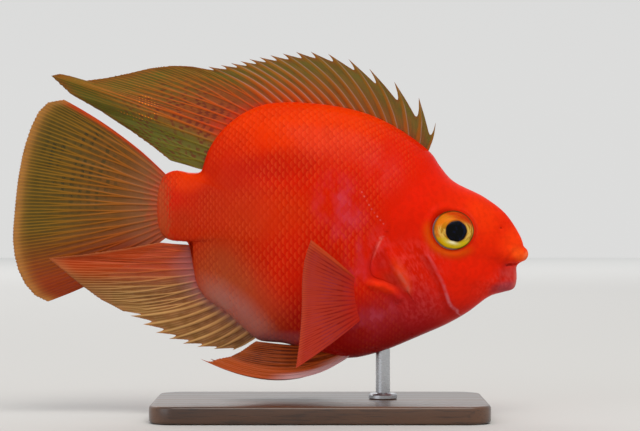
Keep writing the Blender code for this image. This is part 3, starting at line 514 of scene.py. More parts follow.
def add_node(tree, word, *values, **settings):
    """Adds a node with its settings, values and links, and gives the output that is read."""
    kind, output, names, usual = NODES[word]
    made = tree.nodes.new("ShaderNode" + kind)
    for name, value in {**usual, **settings, **dict(zip(names, values))}.items():
        if hasattr(made, str(name)):
            setattr(made, name, value)
        else:
            fill(tree, made.inputs[name], value)
    return made.outputs[output]


def new_material(name):
    """A material, the function that adds a node to it, and places on the piece."""
    made = bpy.data.materials.new(name)
    made.use_nodes = True
    add = partial(add_node, made.node_tree)
    return made, add, add("place")


def set_shader(made, **values):
    """Sets or links the sockets of a material's shader, named with underscores for spaces."""
    for name, value in values.items():
        fill(made.node_tree, made.node_tree.nodes["Principled BSDF"].inputs[name.replace("_", " ")], value)
    return made


def product(add, share, *others):
    """All the shares multiplied, each kept from 0 to 1."""
    for other in others:
        share = add("both", share, other)
    return share


def paint(add, colour, *layers):
    """A colour with layers laid over it, each a share and a colour."""
    for share, code in layers:
        colour = add("mix", share, colour, srgb(code))
    return colour


def patch(add, place, at, half_sizes, turn=0.0, soft=0.75):
    """A soft oval on both flanks, seen from the side: 1 in the middle, 0 at its edge."""
    across = 10.0
    inside = add("placed", place, (at[0] * MM, 0, at[1] * MM), (0, -turn, 0),
                 (half_sizes[0] * MM, across, half_sizes[1] * MM))
    return add("ramp", add("oval", inside), 0.0, soft)


def blotches(add, place, size, detail=3.0, stretch=(1.0, 1.0, 1.0), roughness=0.5, turn=0.0):
    """Blotches about size millimetres across, thinned along each axis by stretch and turned about Y."""
    drawn = add("placed", place, (0, 0, 0), (0, -turn, 0), tuple(1 / k for k in stretch))
    return add("noise", drawn, 1 / (size * MM), detail, roughness)


def band_scale(step):
    """The Wave texture's scale for bands that are step millimetres apart."""
    return 0.1 * math.pi / (step * MM)


# Colour fields of the flesh: place, half sizes, turn, colour and strength, from the deepest layer up.
FLESH_BASE = "#d41a00"
FLESH_PATCHES = [
    # Partly the back's own bright orange, partly painted top light.
    ((-6.0, 109.0), (70.0, 27.0), 0.0, "#ee3600", 0.9),
    ((36.0, 84.0), (30.0, 26.0), -0.7, "#e41c00", 0.8),
    ((56.0, 70.0), (26.0, 20.0), -0.8, "#ea2a00", 0.85),
    ((70.0, 60.0), (10.0, 10.0), 0.0, "#ff4208", 0.8),
    ((50.0, 48.0), (17.0, 13.0), 0.0, "#f42202", 0.85),
    ((-34.0, 64.0), (24.0, 40.0), 0.0, "#b82200", 0.9),
    ((-14.0, 88.0), (24.0, 7.5), 0.05, "#ac0e00", 0.45),
    ((-20.0, 71.0), (28.0, 13.0), 0.05, "#cc3402", 0.4),
    ((-36.0, 50.0), (16.0, 18.0), 0.0, "#a83208", 0.8),
    # Partly the belly's own crimson, partly painted shade under the body.
    ((8.0, 22.0), (80.0, 26.0), 0.0, "#a01010", 0.85),
    ((26.0, 34.0), (24.0, 16.0), 0.3, "#ac1c20", 0.8),
    ((-47.0, 83.0), (10.0, 7.0), 0.0, "#ee3a00", 0.75),
    ((42.2, 59.0), (6.0, 3.0), -0.6, "#b8380a", 0.5),
    # Painted highlight on the lit front of the gill flap's ridge.
    ((28.0, 49.5), (3.4, 9.0), 0.46, "#f24418", 0.65),
    ((21.5, 46.0), (8.0, 2.6), -0.35, "#f4340c", 0.75),
    ((69.6, 56.6), (5.0, 3.2), -0.75, "#ff5a14", 0.8),
    ((72.4, 56.0), (1.8, 3.0), -0.3, "#ff8a50", 0.5),
    ((66.4, 50.6), (4.6, 4.4), 0.0, "#c43a34", 0.75),
    ((65.0, 45.2), (8.0, 3.2), 0.15, "#96404a", 0.8),
    ((20.3, 55.4), (2.8, 7.0), 0.2, "#b01208", 0.6),
    # Painted shadow in the wedge behind the gill flap's ridge.
    ((24.6, 48.4), (5.6, 2.6), -0.6, "#98200c", 0.55),
    ((-29.0, 40.0), (30.0, 19.0), -0.85, "#a8502c", 0.6),
    ((-28.0, 35.0), (24.0, 9.5), -0.75, "#b4786c", 0.8),
    ((-16.0, 27.0), (18.0, 4.0), 0.1, "#9a5458", 0.7),
    ((-49.0, 67.0), (8.0, 9.0), 0.0, "#a4300c", 0.5),
    ((56.5, 71.0), (8.0, 10.0), 0.5, "#fa4408", 0.3),
]
LILAC_PATCHES = [
    ((7.0, 71.0), (12.0, 18.0), 0.2, "#cc4458", 0.6),
    ((13.0, 54.0), (8.0, 10.0), 0.0, "#cc4458", 0.5),
    ((22.0, 86.0), (10.0, 12.0), 0.0, "#e04440", 0.3),
    ((14.0, 33.0), (12.0, 8.0), 0.0, "#c84a60", 0.5),
    ((22.0, 37.0), (7.0, 6.0), 0.0, "#c84a60", 0.4),
]
# Fine pinkish streaks of the cheek, gill cover and throat.
STREAK_PATCHES = [
    ((33.0, 53.0), (15.0, 13.0), 0.0, "#ee5048", 0.37),
    ((34.0, 39.0), (14.0, 10.0), 0.3, "#da4c4c", 0.35),
    ((58.0, 45.0), (9.0, 6.0), 0.5, "#f04c38", 0.30),
    ((20.0, 60.0), (6.0, 10.0), 0.0, "#dc4444", 0.35),
    ((65.0, 48.6), (6.0, 6.0), 0.0, "#dc6460", 0.25),
]


def flesh_colour(add, place, own_share):
    """The red-orange of the skin with its lighter back and face, crimson belly and lilac sheen. The lighter
    back is partly painted top light and the crimson belly partly painted shade; a few patches on the gill
    flap and the nostril are painted highlight or shade.
    """
    sheen = product(add, add("ramp", blotches(add, place, 5.0, 2.0, (1.0, 1.0, 0.6)), 0.35, 0.7), own_share)
    streaks = add("ramp", blotches(add, place, 1.2, 3.0, (1.0, 1.0, 0.36), 0.55, 0.5), 0.38, 0.68)
    colour = srgb(FLESH_BASE)
    for patches, broken_by in ((FLESH_PATCHES, ()), (LILAC_PATCHES, (sheen,)), (STREAK_PATCHES, (streaks,))):
        for *oval, code, strength in patches:
            colour = paint(add, colour, (product(add, patch(add, place, *oval), strength, *broken_by), code))
    rooted = add("times_plus", blotches(add, place, 1.5, 2.0, (6.0, 1.0, 1.0)), 1.6,
                 patch(add, place, (-60.0, 69.0), (12.0, 40.0)))
    # The second layer below is painted shade in the nostril's pit.
    colour = paint(add, colour, (add("ramp", rooted, 1.05, 1.6, 0.0, 0.7), "#9a4c24"),
                   (product(add, patch(add, place, NOSTRIL_AT, (0.6, 0.45), -0.6), 0.6), "#6a0800"))
    for index, at in enumerate(smooth_curve(PORE_LINE, 4)):
        strength = 0.26 + 0.14 * math.sin(index * 2.3)
        pore = patch(add, place, at, (0.42, 0.5), 0.6)
        colour = paint(add, colour, (product(add, pore, strength), "#e8908c"))
    return paint(add, colour, (add("ramp", blotches(add, place, 14.0), 0.35, 0.75, 0.0, 0.2), "#b81000"))


def skin_material():
    """Wet living skin: a clear film of slime over soft, blood-rich flesh, so it glows and still shines."""
    made, add, place = new_material("wet_fish_skin")
    pale, dark, gold, ridge, from_fold, down_fold = (
        add("attribute", name) for name in ("pale", "dark", "gold", "ridge", "from_fold", "down_fold"))
    # Noise that breaks up the painted highlights of the face.
    highlight_breakup = add("ramp", blotches(add, place, 1.8, 2.0), 0.34, 0.6, 0.45, 1.0)
    from_line = add("unsigned", add("minus", from_fold, 0.4))
    # Over the flesh: random mottling, the gold round the eye, painted shade in the face's creases, and
    # painted highlights on the pale lines, the flap's ridge and beside the cheek fold.
    colour = paint(add, flesh_colour(add, place, 0.7),
                   (add("ramp", blotches(add, place, 1.8, 2.0), 0.42, 0.62, 0.0, 0.14), "#a80c00"),
                   (product(add, gold, 0.6), "#cc5200"),
                   (product(add, dark, 0.7), "#980a04"),
                   (product(add, pale, highlight_breakup, 0.8), "#e08478"),
                   (product(add, ridge, highlight_breakup), "#cc6450"),
                   (product(add, add("ramp", from_line, 0.95, 0.05), down_fold, highlight_breakup), "#d4747c"))
    wet = add("ramp", blotches(add, place, 2.4), 0.3, 0.7, 0.30, 0.42)
    return set_shader(made, Base_Color=colour, Roughness=wet, IOR=1.38, Specular_IOR_Level=0.05,
                      Normal=add("bump", blotches(add, place, 0.5, 2.0), 0.25, 0.12 * MM),
                      Subsurface_Weight=0.12, Subsurface_Scale=0.5,
                      Subsurface_Radius=(3.0 * MM, 0.4 * MM, 0.1 * MM),
                      Coat_Weight=0.05, Coat_Roughness=0.12, Coat_IOR=1.34)


def scale_material():
    """Thin bony scales under slime: the skin's colours, with painted shade on each scale's seat and a painted
    highlight on its free rim.
    """
    made, add, place = new_material("wet_fish_scale")
    tone, rim, clear = (add("attribute", name) for name in ("tone", "rim", "clear"))
    patchy = add("ramp", blotches(add, place, 9.0, 3.0, (1.0, 1.0, 0.6)), 0.36, 0.6, 0.3, 1.0)
    shown = product(add, clear, patchy)
    # After a random tone per scale: a painted highlight along each lifted free rim, and painted shade on the
    # seat just behind the edge of the scale in front.
    colour = paint(add, flesh_colour(add, place, add("ramp", tone, 0.9, 0.2, 0.45, 0.9)),
                   (product(add, add("ramp", tone, 0.3, 1.0, 0.0, 0.16), shown), "#a81000"),
                   (product(add, add("ramp", rim, 0.70, 0.94, 0.0, 0.20), shown), "#f0642c"),
                   (product(add, add("ramp", rim, 0.70, 0.44, 0.0, 0.26), shown), "#980a00"))
    growth_rings = add("bump", add("sine", add("times", rim, 26.0)), 0.15, 0.02 * MM)
    return set_shader(made, Base_Color=colour, Roughness=add("ramp", tone, 0.0, 1.0, 0.26, 0.40),
                      Normal=growth_rings, IOR=1.42, Specular_IOR_Level=0.04, Subsurface_Weight=0.10,
                      Subsurface_Scale=0.5, Subsurface_Radius=(2.8 * MM, 0.4 * MM, 0.1 * MM),
                      Coat_Weight=0.04, Coat_Roughness=0.16, Coat_IOR=1.34)


# Fins: colours of membrane and rays near the body and far out, of the free edge and of the membrane's
# blots; opacity; how far out the flesh's red reaches; depth of the rays' joints; where a ray's colour
# starts and ends. Washes are an attribute, its low and high, a colour and a strength, then gates of the
# same kind. Spots are an oval, a strength and a colour.
FIN_LOOKS = {
    "dorsal": dict(
        web=("#8a3c0a", "#5a5812"), ray=("#b8480e", "#90601c"), edge="#8e4210", opacity=0.88, flush=0.2,
        soft_ray=(0.05, 0.7), spots=((-47.0, 101.0), (32.0, 20.0), -0.3, 0.75, "#681a06"), glints=True,
        # The grey-pink wash along each spine's front edge is a painted highlight.
        washes=[("across", 0.45, 0.20, "#6a5418", 0.5), ("lead", 0.2, 0.9, "#aa9088", 0.42),
                ("across", 0.78, 0.90, "#5e6018", 0.9)]),
    "anal": dict(
        web=("#7a4220", "#7c501c"), ray=("#b88450", "#bc9058"), edge="#a86c40", opacity=0.88,
        washes=[("across", 0.62, 0.80, "#b4360e", 0.8), ("out", 0.28, 0.05, "#946468", 0.55)]),
    "caudal": dict(
        web=("#78440c", "#564408"), ray=("#985418", "#7e5c18"), edge="#b07834", blot="#3c3408", opacity=0.88,
        flush=0.15, spots=((-84.0, 88.0), (20.0, 22.0), 0.0, 0.6, "#2c2a06"),
        washes=[("across", 0.60, 0.95, "#982808", 0.8), ("out", 0.34, 0.14, "#8c5838", 0.45),
                ("across", 0.045, 0.0, "#c83408", 0.85), ("out", 0.93, 1.0, "#b87840", 0.7)]),
    "pectoral": dict(
        web=("#8c120c", "#94180e"), ray=("#a82a1a", "#b03420"), edge="#bc4828", blot="#b44a60", opacity=0.76,
        soft_ray=(0.0, 1.0), jointed=0.0,
        washes=[("across", 0.07, 0.0, "#cc4a1c", 0.8), ("out", 0.45, 0.05, "#c01c08", 0.8)]),
    "pelvic": dict(
        web=("#641c04", "#4e1a06"), ray=("#a04010", "#8c3c12"), edge="#a04c1c", opacity=0.97,
        washes=[("across", 0.44, 0.28, "#b85020", 0.8),
                ("across", 0.44, 0.26, "#c89088", 0.7, ("out", 0.36, 0.16)),
                ("across", 0.25, 0.13, "#d0a0a0", 0.95, ("out", 0.68, 0.46))]),
}
# Distances along a ray from joint to joint and from spot to spot, and between glints.
JOINT_STEP = 1.1
SPOT_STEP = 3.0
GLINT_STEP = 1.0857


def fin_material(fin, web, ray, edge, opacity, washes, blot=None, spots=None, glints=False, flush=0.16,
                 jointed=0.35, soft_ray=(0.25, 0.8)):
    """Fin membrane stretched over bony rays: thin and a little see-through between them."""
    made, add, place = new_material(fin + "_membrane")
    out, on_ray, length, stripe, margin = (
        add("attribute", name) for name in ("out", "ray", "length", "stripe", "margin"))
    ray_colour = paint(add, srgb(ray[0]), (add("ramp", out, 0.15, 0.95), ray[1]))
    fibres = product(add, stripe, add("ramp", blotches(add, place, 3.0, 2.0), 0.35, 0.65, 0.1, 0.45))
    web_colour = paint(add, srgb(web[0]), (add("ramp", out, 0.1, 0.85), web[1]),
                       (product(add, add("ramp", blotches(add, place, 5.0), 0.35, 0.7), 0.35), blot or edge))
    web_colour = add("mix", fibres, web_colour, ray_colour)
    colour = add("mix", add("ramp", on_ray, *soft_ray), web_colour, ray_colour)
    ragged = add("times_plus", blotches(add, place, 2.2), 0.26, out)
    colour = paint(add, colour, (product(add, add("ramp", ragged, flush + 0.15, 0.11), 0.85), "#c82400"))
    for attribute, low, high, code, strength, *gates in washes:
        shares = [add("ramp", add("attribute", gate), *limits) for gate, *limits in gates]
        wash = product(add, add("ramp", add("attribute", attribute), low, high), strength, *shares)
        colour = paint(add, colour, (wash, code))
    colour = paint(add, colour, (product(add, margin, 0.5), edge))
    if spots:
        colour = paint(add, colour, (spot_rows(add, place, on_ray, length, *spots[:4]), spots[4]))
    if glints:
        colour = paint(add, colour, (glint_dots(add, place, on_ray), "#ff8a1c"))
    joint = add("ramp", add("sine", add("times", length, 2 * math.pi / JOINT_STEP)), 0.6, 1.0)
    return set_shader(made, Base_Color=colour, Roughness=0.34, IOR=1.40,
                      Normal=add("bump", product(add, joint, on_ray), jointed, 0.05 * MM, invert=True),
                      Alpha=add("ramp", on_ray, 0.1, 0.7, opacity, min(1.0, opacity + 0.25)),
                      Specular_IOR_Level=0.10, Coat_Weight=0.05, Coat_Roughness=0.15, Coat_IOR=1.34,
                      Subsurface_Weight=0.08, Subsurface_Scale=0.5,
                      Subsurface_Radius=(1.0 * MM, 0.4 * MM, 0.2 * MM))


def spot_rows(add, place, on_ray, length, at, half_sizes, turn, strength):
    """Rows of dark spots between the rays in one oval part of a fin."""
    drift = add("times", blotches(add, place, 6.0, 2.0), 5.0)
    rows = add("sine", add("times_plus", length, 2 * math.pi / SPOT_STEP, drift))
    uneven = add("ramp", blotches(add, place, 3.5, 2.0), 0.38, 0.6)
    return product(add, patch(add, place, at, half_sizes, turn, 0.5), add("ramp", rows, -0.3, 0.6),
                   add("ramp", on_ray, 0.5, 0.1), uneven, strength)


def glint_dots(add, place, on_ray):
    """Short dotted runs of bright orange along a few rays."""
    dots = add("bands", place, band_scale(GLINT_STEP), bands_direction="X")
    runs = add("ramp", blotches(add, place, 4.0, 0.0, (0.4, 1.0, 1.0)), 0.5, 0.56)
    return product(add, patch(add, place, (-64.0, 108.0), (8.0, 9.0), -0.3, 0.3),
                   add("ramp", dots, 0.55, 0.8), add("ramp", on_ray, 0.5, 0.8), runs)


IRIS_COLOURS = [("orange", "#dc7000", 0.95), ("yellow", "#dcc400", 0.9), ("ember", "#b82e00", 1.0)]


def iris_material():
    """Golden iris: a foil-like layer with fine radial folds, orange above, yellow below, grey at the rim as a
    painted reflection, with a painted highlight under the pupil.
    """
    made, add, _ = new_material("golden_iris")
    share, from_lens, glow, ash = (add("attribute", name) for name in ("share", "from_lens", "glow", "ash"))
    swirl = add("place_of", *(add("attribute", name) for name in ("swirl_x", "swirl_y", "swirl_out")))
    folds = add("noise", swirl, 1.0, 3.0, 0.6)
    broken = add("ramp", folds, 0.3, 0.55, 0.6, 1.0)
    colour = paint(add, srgb("#a87414"), (add("ramp", folds, 0.36, 0.64), "#e4bc58"))
    for name, code, strength in IRIS_COLOURS:
        colour = paint(add, colour, (product(add, add("attribute", name), broken, strength), code))
    # A brown ring round the lens, a painted highlight under the pupil, the dark outline, and a painted grey
    # reflection at the rim.
    colour = paint(add, colour, (add("ramp", from_lens, 1.14, 1.0, 0.0, 0.75), "#803804"), (glow, "#fffac8"),
                   (add("ramp", share, 0.84, 0.93, 0.0, 0.9), "#3c2c08"), (product(add, ash, 0.6), "#9090a0"))
    return set_shader(made, Base_Color=colour, Roughness=0.5, Specular_IOR_Level=0.02,
                      Normal=add("bump", folds, 0.3, 0.1 * MM),
                      Coat_Weight=0.05, Coat_Roughness=0.03, Coat_IOR=1.376)


def lens_material():
    """The lens behind a clear cornea: nearly black, with painted blue mottling that stands for reflections,
    and a wet, sharp highlight.
    """
    made, add, place = new_material("dark_lens")
    # Painted reflections: dark blue mottling over the black.
    colour = paint(add, srgb("#020203"), (add("ramp", blotches(add, place, 2.0), 0.5, 0.7), "#0a1028"))
    return set_shader(made, Base_Color=colour, Roughness=0.3, Specular_IOR_Level=0.05, Coat_Weight=0.15,
                      Coat_Roughness=0.02, Coat_IOR=1.376)


def wood_material():
    """Dark-stained, satin-lacquered walnut: long grain along the base and fine open pores."""
    made, add, place = new_material("lacquered_walnut")
    along_grain = add("placed", place, (0, 0, 0), (0.25, 0.0, 0.04), (0.12, 1.0, 1.0), vector_type="POINT")
    rings = add("bands", along_grain, band_scale(9.24), 5.0, 3.0, 1.6, bands_direction="Y")
    pores = blotches(add, place, 0.45, 2.0, (0.05, 1.0, 1.0))
    colour = paint(add, srgb("#3a2213"), (rings, "#5c3a22"),
                   (add("ramp", pores, 0.52, 0.7, 0.0, 0.55), "#1d1009"))
    return set_shader(made, Base_Color=colour, Roughness=add("ramp", rings, 0.0, 1.0, 0.34, 0.42), IOR=1.5,
                      Normal=add("bump", pores, 0.2, 0.1 * MM, invert=True),
                      Coat_Weight=0.4, Coat_Roughness=0.2)


def steel_material():
    """Turned stainless steel rod: fine brushing round its axis, drawn coarser than it is so that it shows."""
    made, add, place = new_material("brushed_steel_rod")
    brushing = blotches(add, place, 0.12, 2.0, (0.03, 0.03, 1.0))
    return set_shader(made, Base_Color=srgb("#b9bbbf"), Metallic=1.0, Anisotropic=0.4,
                      Roughness=add("ramp", brushing, 0.3, 0.7, 0.26, 0.32),
                      Normal=add("bump", brushing, 0.03, 0.01 * MM))


# Flesh.

def even_angles(count):
    """Angles round the outline, set closer at the mouth and where the stalk meets the body."""
    fine = np.radians(np.arange(-60.0, 300.1, 0.5))
    density = 1 + 2.4 * bell(fine - math.radians(-4), 0.24)
    density += 1.2 * bell(fine - math.radians(154), 0.12)
    density += 0.8 * bell(fine - math.radians(184), 0.12)
    travelled = np.concatenate([[0], np.cumsum((density[1:] + density[:-1]) / 2)])
    return np.interp(np.arange(count + 1) / count * travelled[-1], travelled, fine)


def press_sockets(points):
    """Draws the skin up against each eyeball, with a thin raised rim round it."""
    for side in (-1, 1):
        middle, along, up, facing = (np.array(vector) for vector in eye_frame(side))
        local = points - middle
        share = np.hypot(local @ along / EYE_HALF[0], local @ up / EYE_HALF[1])
        height = local @ facing
        near = (height > -EYE_HALF[2]) & (share < 1.5)
        sunk = (height - EYE_RIM_HEIGHT) * (1 - ease(share, 0.93, 1.24))
        rim = 0.12 * bell(share - 1.05, 0.06)
        points += np.where(near, rim - sunk, 0.0)[:, None] * facing
    return points


def make_skin(finish):
    """One skin for head, jaw, trunk and tail stalk: a ball drawn out to the outline, then sculpted."""
    deselect()
    bpy.ops.mesh.primitive_uv_sphere_add(segments=SKIN_SEGMENTS, ring_count=SKIN_RINGS, radius=1.0)
    skin = named("fish_skin")
    ball = read_points(skin)
    turn = np.arctan2(ball[:, 1], ball[:, 0]) % (2 * math.pi) / (2 * math.pi) * SKIN_SEGMENTS
    angle = np.interp(turn, np.arange(SKIN_SEGMENTS + 1), even_angles(SKIN_SEGMENTS))
    share = np.minimum(np.hypot(ball[:, 0], ball[:, 1]), 1.0)
    distance = reach(angle, share)
    x = BODY_CENTRE[0] + distance * np.cos(angle)
    z = BODY_CENTRE[1] + distance * np.sin(angle)
    thick = np.where(share > 0.999999, 0.0, half_thickness(x, z, angle, share))
    points = np.stack([x, -np.sign(ball[:, 2]) * thick, z], axis=1)
    write_points(skin, press_sockets(points))
    mark_face(skin, x, z)
    shade_smooth(skin, finish)
    return skin


def make_gill_flap(name, side, finish):
    """The gill cover: its front lies under the skin and its rear edge lifts free of the flank."""
    edge = smooth_curve(COVER_EDGE, 10, closed=True)
    middle = np.array(COVER_CENTRE)
    shares = np.concatenate([np.linspace(0, 0.9, 30), np.linspace(0.915, 1.0, 9)])[1:]
    count = len(edge)
    flat = np.vstack([middle[None]] + [middle + (edge - middle) * share for share in shares])
    level = np.concatenate([[0.0], np.repeat(shares, count)])
    x, z = flat.T
    free = ease(np.abs(path_distance(x, z, COVER_HIDDEN)), 1.2, 10.5) * flap_open(z)
    top = flank(x, z) + flap_seat(x, z) - COVER_SINK + (COVER_RISE + COVER_SINK) * free
    top += 0.6 * lap(path_distance(x, z, FLAP_RIDGE)) * ease(z, 59.0, 55.0)
    top -= 0.35 * ease(level, 0.95, 1.0) * free
    under = top - COVER_THICKNESS - 0.9 * (1 - level)
    points = np.vstack([np.stack([x, side * y, z], axis=1) for y in (top, under)])
    faces = []
    for start, turned in ((0, side > 0), (len(flat), side < 0)):
        rings = [start + 1 + ring * count + np.arange(count) for ring in range(len(shares))]
        sheet = np.vstack([fan(start, rings[0])] + [band(*pair) for pair in zip(rings, rings[1:])])
        faces.append(sheet[:, ::-1] if turned else sheet)
    rim = band(rings[-1] - len(flat), rings[-1])
    faces.append(rim[:, ::-1] if side > 0 else rim)
    flap = joined_mesh(name, points, np.vstack(faces), finish)
    mark_face(flap, points[:, 0], points[:, 2])
    return flap


# Scales.

def girth_grid():
    """The right flank as sections square to the body's length.

    Each holds the ways from the middle line along the skin, up or down, and their z and y in millimetres.
    """
    stations = np.arange(-56.0, 62.01, GIRTH_STEP)
    heights = np.linspace(18.0, 112.0, 1200)
    sections = []
    for x in stations:
        thick = flank(np.full(len(heights), x), heights)
        solid = np.flatnonzero(thick > 0.02)
        z, y = (values[solid[0]:solid[-1] + 1] for values in (heights, thick))
        travelled = np.concatenate([[0], np.cumsum(np.hypot(np.diff(z), np.diff(y)))])
        middle_line = 68.0 - 0.04 * (x + 50)
        sections.append((travelled - np.interp(middle_line, z, travelled), z, y))
    return stations, sections


def flank_point(stations, sections, x, way):
    """Point of the flank at x and at a way up from the middle line, past the edge on the other flank."""
    station = min(max((x - stations[0]) / GIRTH_STEP, 0.0), len(sections) - 1.001)
    first = int(station)
    found = np.zeros(2)
    for index, share in ((first, first + 1 - station), (first + 1, station - first)):
        ways, z, y = sections[index]
        folded = 2 * min(max(way, ways[0]), ways[-1]) - way
        other_side = 1.0 if folded != way else -1.0
        found += share * np.array([other_side * np.interp(folded, ways, y), np.interp(folded, ways, z)])
    return np.array([x, *found])


def scale_front(z):
    """How far forward the scales reach at each height."""
    return float(np.interp(z, SCALE_FRONT[:, 1], SCALE_FRONT[:, 0]))


def scale_seats(stations, sections):
    """Where each scale of one flank sits: x, way from the middle line, size and z, column by column."""
    seats = []
    x = -54.5
    column = 0
    while x < 43.0:
        size = 1 - 0.26 * float(ease(x, -6, 40)) - 0.28 * float(ease(-x, 6, 54))
        ways, z, _ = sections[int(round((x - stations[0]) / GIRTH_STEP))]
        step, shift = ROW_STEP * size, 0.5 * (column % 2)
        lowest = math.ceil((ways[0] + 0.8) / step - shift)
        highest = math.floor((ways[-1] - 0.8) / step - shift)
        for row in range(lowest, highest + 1):
            way = (row + shift) * step
            height = float(np.interp(way, ways, z))
            if x < scale_front(height):
                seats.append((x, way, size, height))
        x += COLUMN_STEP * size
        column += 1
    return seats


def scale_outline():
    """One scale seen flat: rounded free edge to the rear, blunt root in front, as along and across."""
    turns = np.linspace(0, 2 * math.pi, SCALE_POINTS + 1)[:-1]
    along = np.cos(turns) * np.where(np.cos(turns) > 0, 0.55, 0.45)
    across = np.sin(turns) * (0.5 - 0.04 * np.cos(turns))
    return np.stack([along, across], axis=1)


def scale_axes(place, x, way):
    """A scale's seat, with its rearward, upward and outward directions there."""
    reach_out = 0.6
    here = place(x, way)
    rearward = place(x - reach_out, way) - here
    rearward /= np.linalg.norm(rearward)
    upward = place(x, way + reach_out) - here
    upward -= rearward * (upward @ rearward)
    upward /= np.linalg.norm(upward)
    normal = np.cross(upward, rearward)
    return here, -normal if normal @ (here - np.array([here[0], 0.0, 65.0])) < 0 else normal


def make_scales(name, side, finish, seats, place):
    """Joined solid scales, each a thin shield sunk at its root and lifted at its free rear edge.

    place(x, way) gives a point of the surface on the right side; the left side mirrors it.
    """
    flat = scale_outline()
    local = np.vstack([[[0.0, 0.0]], flat * 0.55, flat])
    rim = np.clip(local[:, 0] + 0.45, 0, 1)
    domed = 0.03 * (1 - (local**2).sum(axis=1) / 0.3)
    inner, outer = 1 + np.arange(SCALE_POINTS), 1 + SCALE_POINTS + np.arange(SCALE_POINTS)
    under = len(local)
    faces = np.vstack([fan(0, inner), band(inner, outer), fan(under, outer)[:, ::-1]])
    points, patches, numbers = [], [], []
    for x, way, size, z in seats:
        turn = RANDOM.normal(0, 0.05)
        x = x + RANDOM.normal(0, 0.06)
        way = way + RANDOM.normal(0, 0.09)
        clear = float(ease(scale_front(z) - x, 0.0, 5.0 + 7.0 * float(ease(z, 62.0, 76.0))))
        clear *= 1 - 0.6 * float(mound(x, z, (18.0, 34.0), (12.0, 12.0)))
        lift = SCALE_PROUD * RANDOM.uniform(0.9, 1.1) * (0.35 + 0.65 * clear)
        here, normal = scale_axes(place, x, way)
        cos, sin = math.cos(turn), math.sin(turn)
        along = (local[:, 0] * cos - local[:, 1] * sin) * SCALE_LONG * size
        across = (local[:, 0] * sin + local[:, 1] * cos) * SCALE_TALL * size
        seat = np.array([place(x - a, way + b) for a, b in zip(along, across)])
        raised = (lift + SCALE_SINK) * rim - SCALE_SINK + domed
        points.append(np.vstack([seat + normal * raised[:, None], here - normal * SCALE_ROOT]))
        numbers.append((RANDOM.uniform(), clear))
        patches.append(unwrap_patch(here, side, local))
    points = np.vstack(points)
    points[:, 1] *= -side
    starts = np.arange(len(seats)) * (under + 1)
    every = (faces[None] + starts[:, None, None]).reshape(-1, 3)
    made = joined_mesh(name, points, every[:, ::-1] if side > 0 else every, finish)
    made.data.set_sharp_from_angle(angle=math.radians(60))
    tone, clear = np.repeat(np.array(numbers), under + 1, axis=0).T
    set_attributes(made, tone=tone, clear=clear, rim=np.tile(np.append(rim, 0.0), len(seats)))
    corners = np.empty(len(made.data.loops), int)
    made.data.loops.foreach_get("vertex_index", corners)
    made.data.uv_layers.new(name="OFBake").data.foreach_set("uv", np.vstack(patches)[corners].ravel())
    return made


def unwrap_patch(point, side, local):
    """A small patch at the scale's place on the skin, unwrapped as one round map for each flank."""
    angle = math.atan2(point[2] - BODY_CENTRE[1], point[0] - BODY_CENTRE[0])
    distance = math.hypot(point[0] - BODY_CENTRE[0], point[2] - BODY_CENTRE[1])
    share = min(1.0, distance / float(rim_radius(angle)))
    turn = math.asin(share) / (math.pi / 2)
    middle = np.array([0.25 if side < 0 else 0.75, 0.5])
    at = middle + 0.235 * turn * np.array([math.cos(angle), math.sin(angle)])
    return np.vstack([at + local * PATCH_SIZE, at])


# Fins.

def along_rim(front_angle, rear_angle, shares, sink):
    """Points on the outline at shares of the way between two angles, sunk towards the centre."""
    angle = np.linspace(math.radians(front_angle), math.radians(rear_angle), 400)
    radius = rim_radius(angle)
    line = BODY_CENTRE + np.stack([radius * np.cos(angle), radius * np.sin(angle)], axis=1)
    travelled = np.concatenate([[0], np.cumsum(np.linalg.norm(np.diff(line, axis=0), axis=1))])
    at = np.interp(np.asarray(shares) * travelled[-1], travelled, angle)
    inner = rim_radius(at) - sink
    return BODY_CENTRE + np.stack([inner * np.cos(at), inner * np.sin(at)], axis=1)


def tips_at(table, shares):
    """The tips' x, z at each share of the root, read from a smooth curve."""
    curve = smooth_curve([(share * 100, x, z) for share, x, z in table], 8)
    at = np.asarray(shares) * 100
    return np.stack([np.interp(at, curve[:, 0], curve[:, axis]) for axis in (1, 2)], axis=1)


def bowed_control(root, tip, bow):
    """Middle control point of a ray that leaves its root turned by bow from the straight line."""
    chord = tip - root
    cos, sin = math.cos(bow), math.sin(bow)
    return root + 0.5 * np.array([chord[0] * cos - chord[1] * sin, chord[0] * sin + chord[1] * cos])


def ray_points(seen, sideways):
    """A ray's three control points, from where they are seen from the side and their places along Y."""
    return [(x, y, z) for (x, z), y in zip(seen, sideways)]


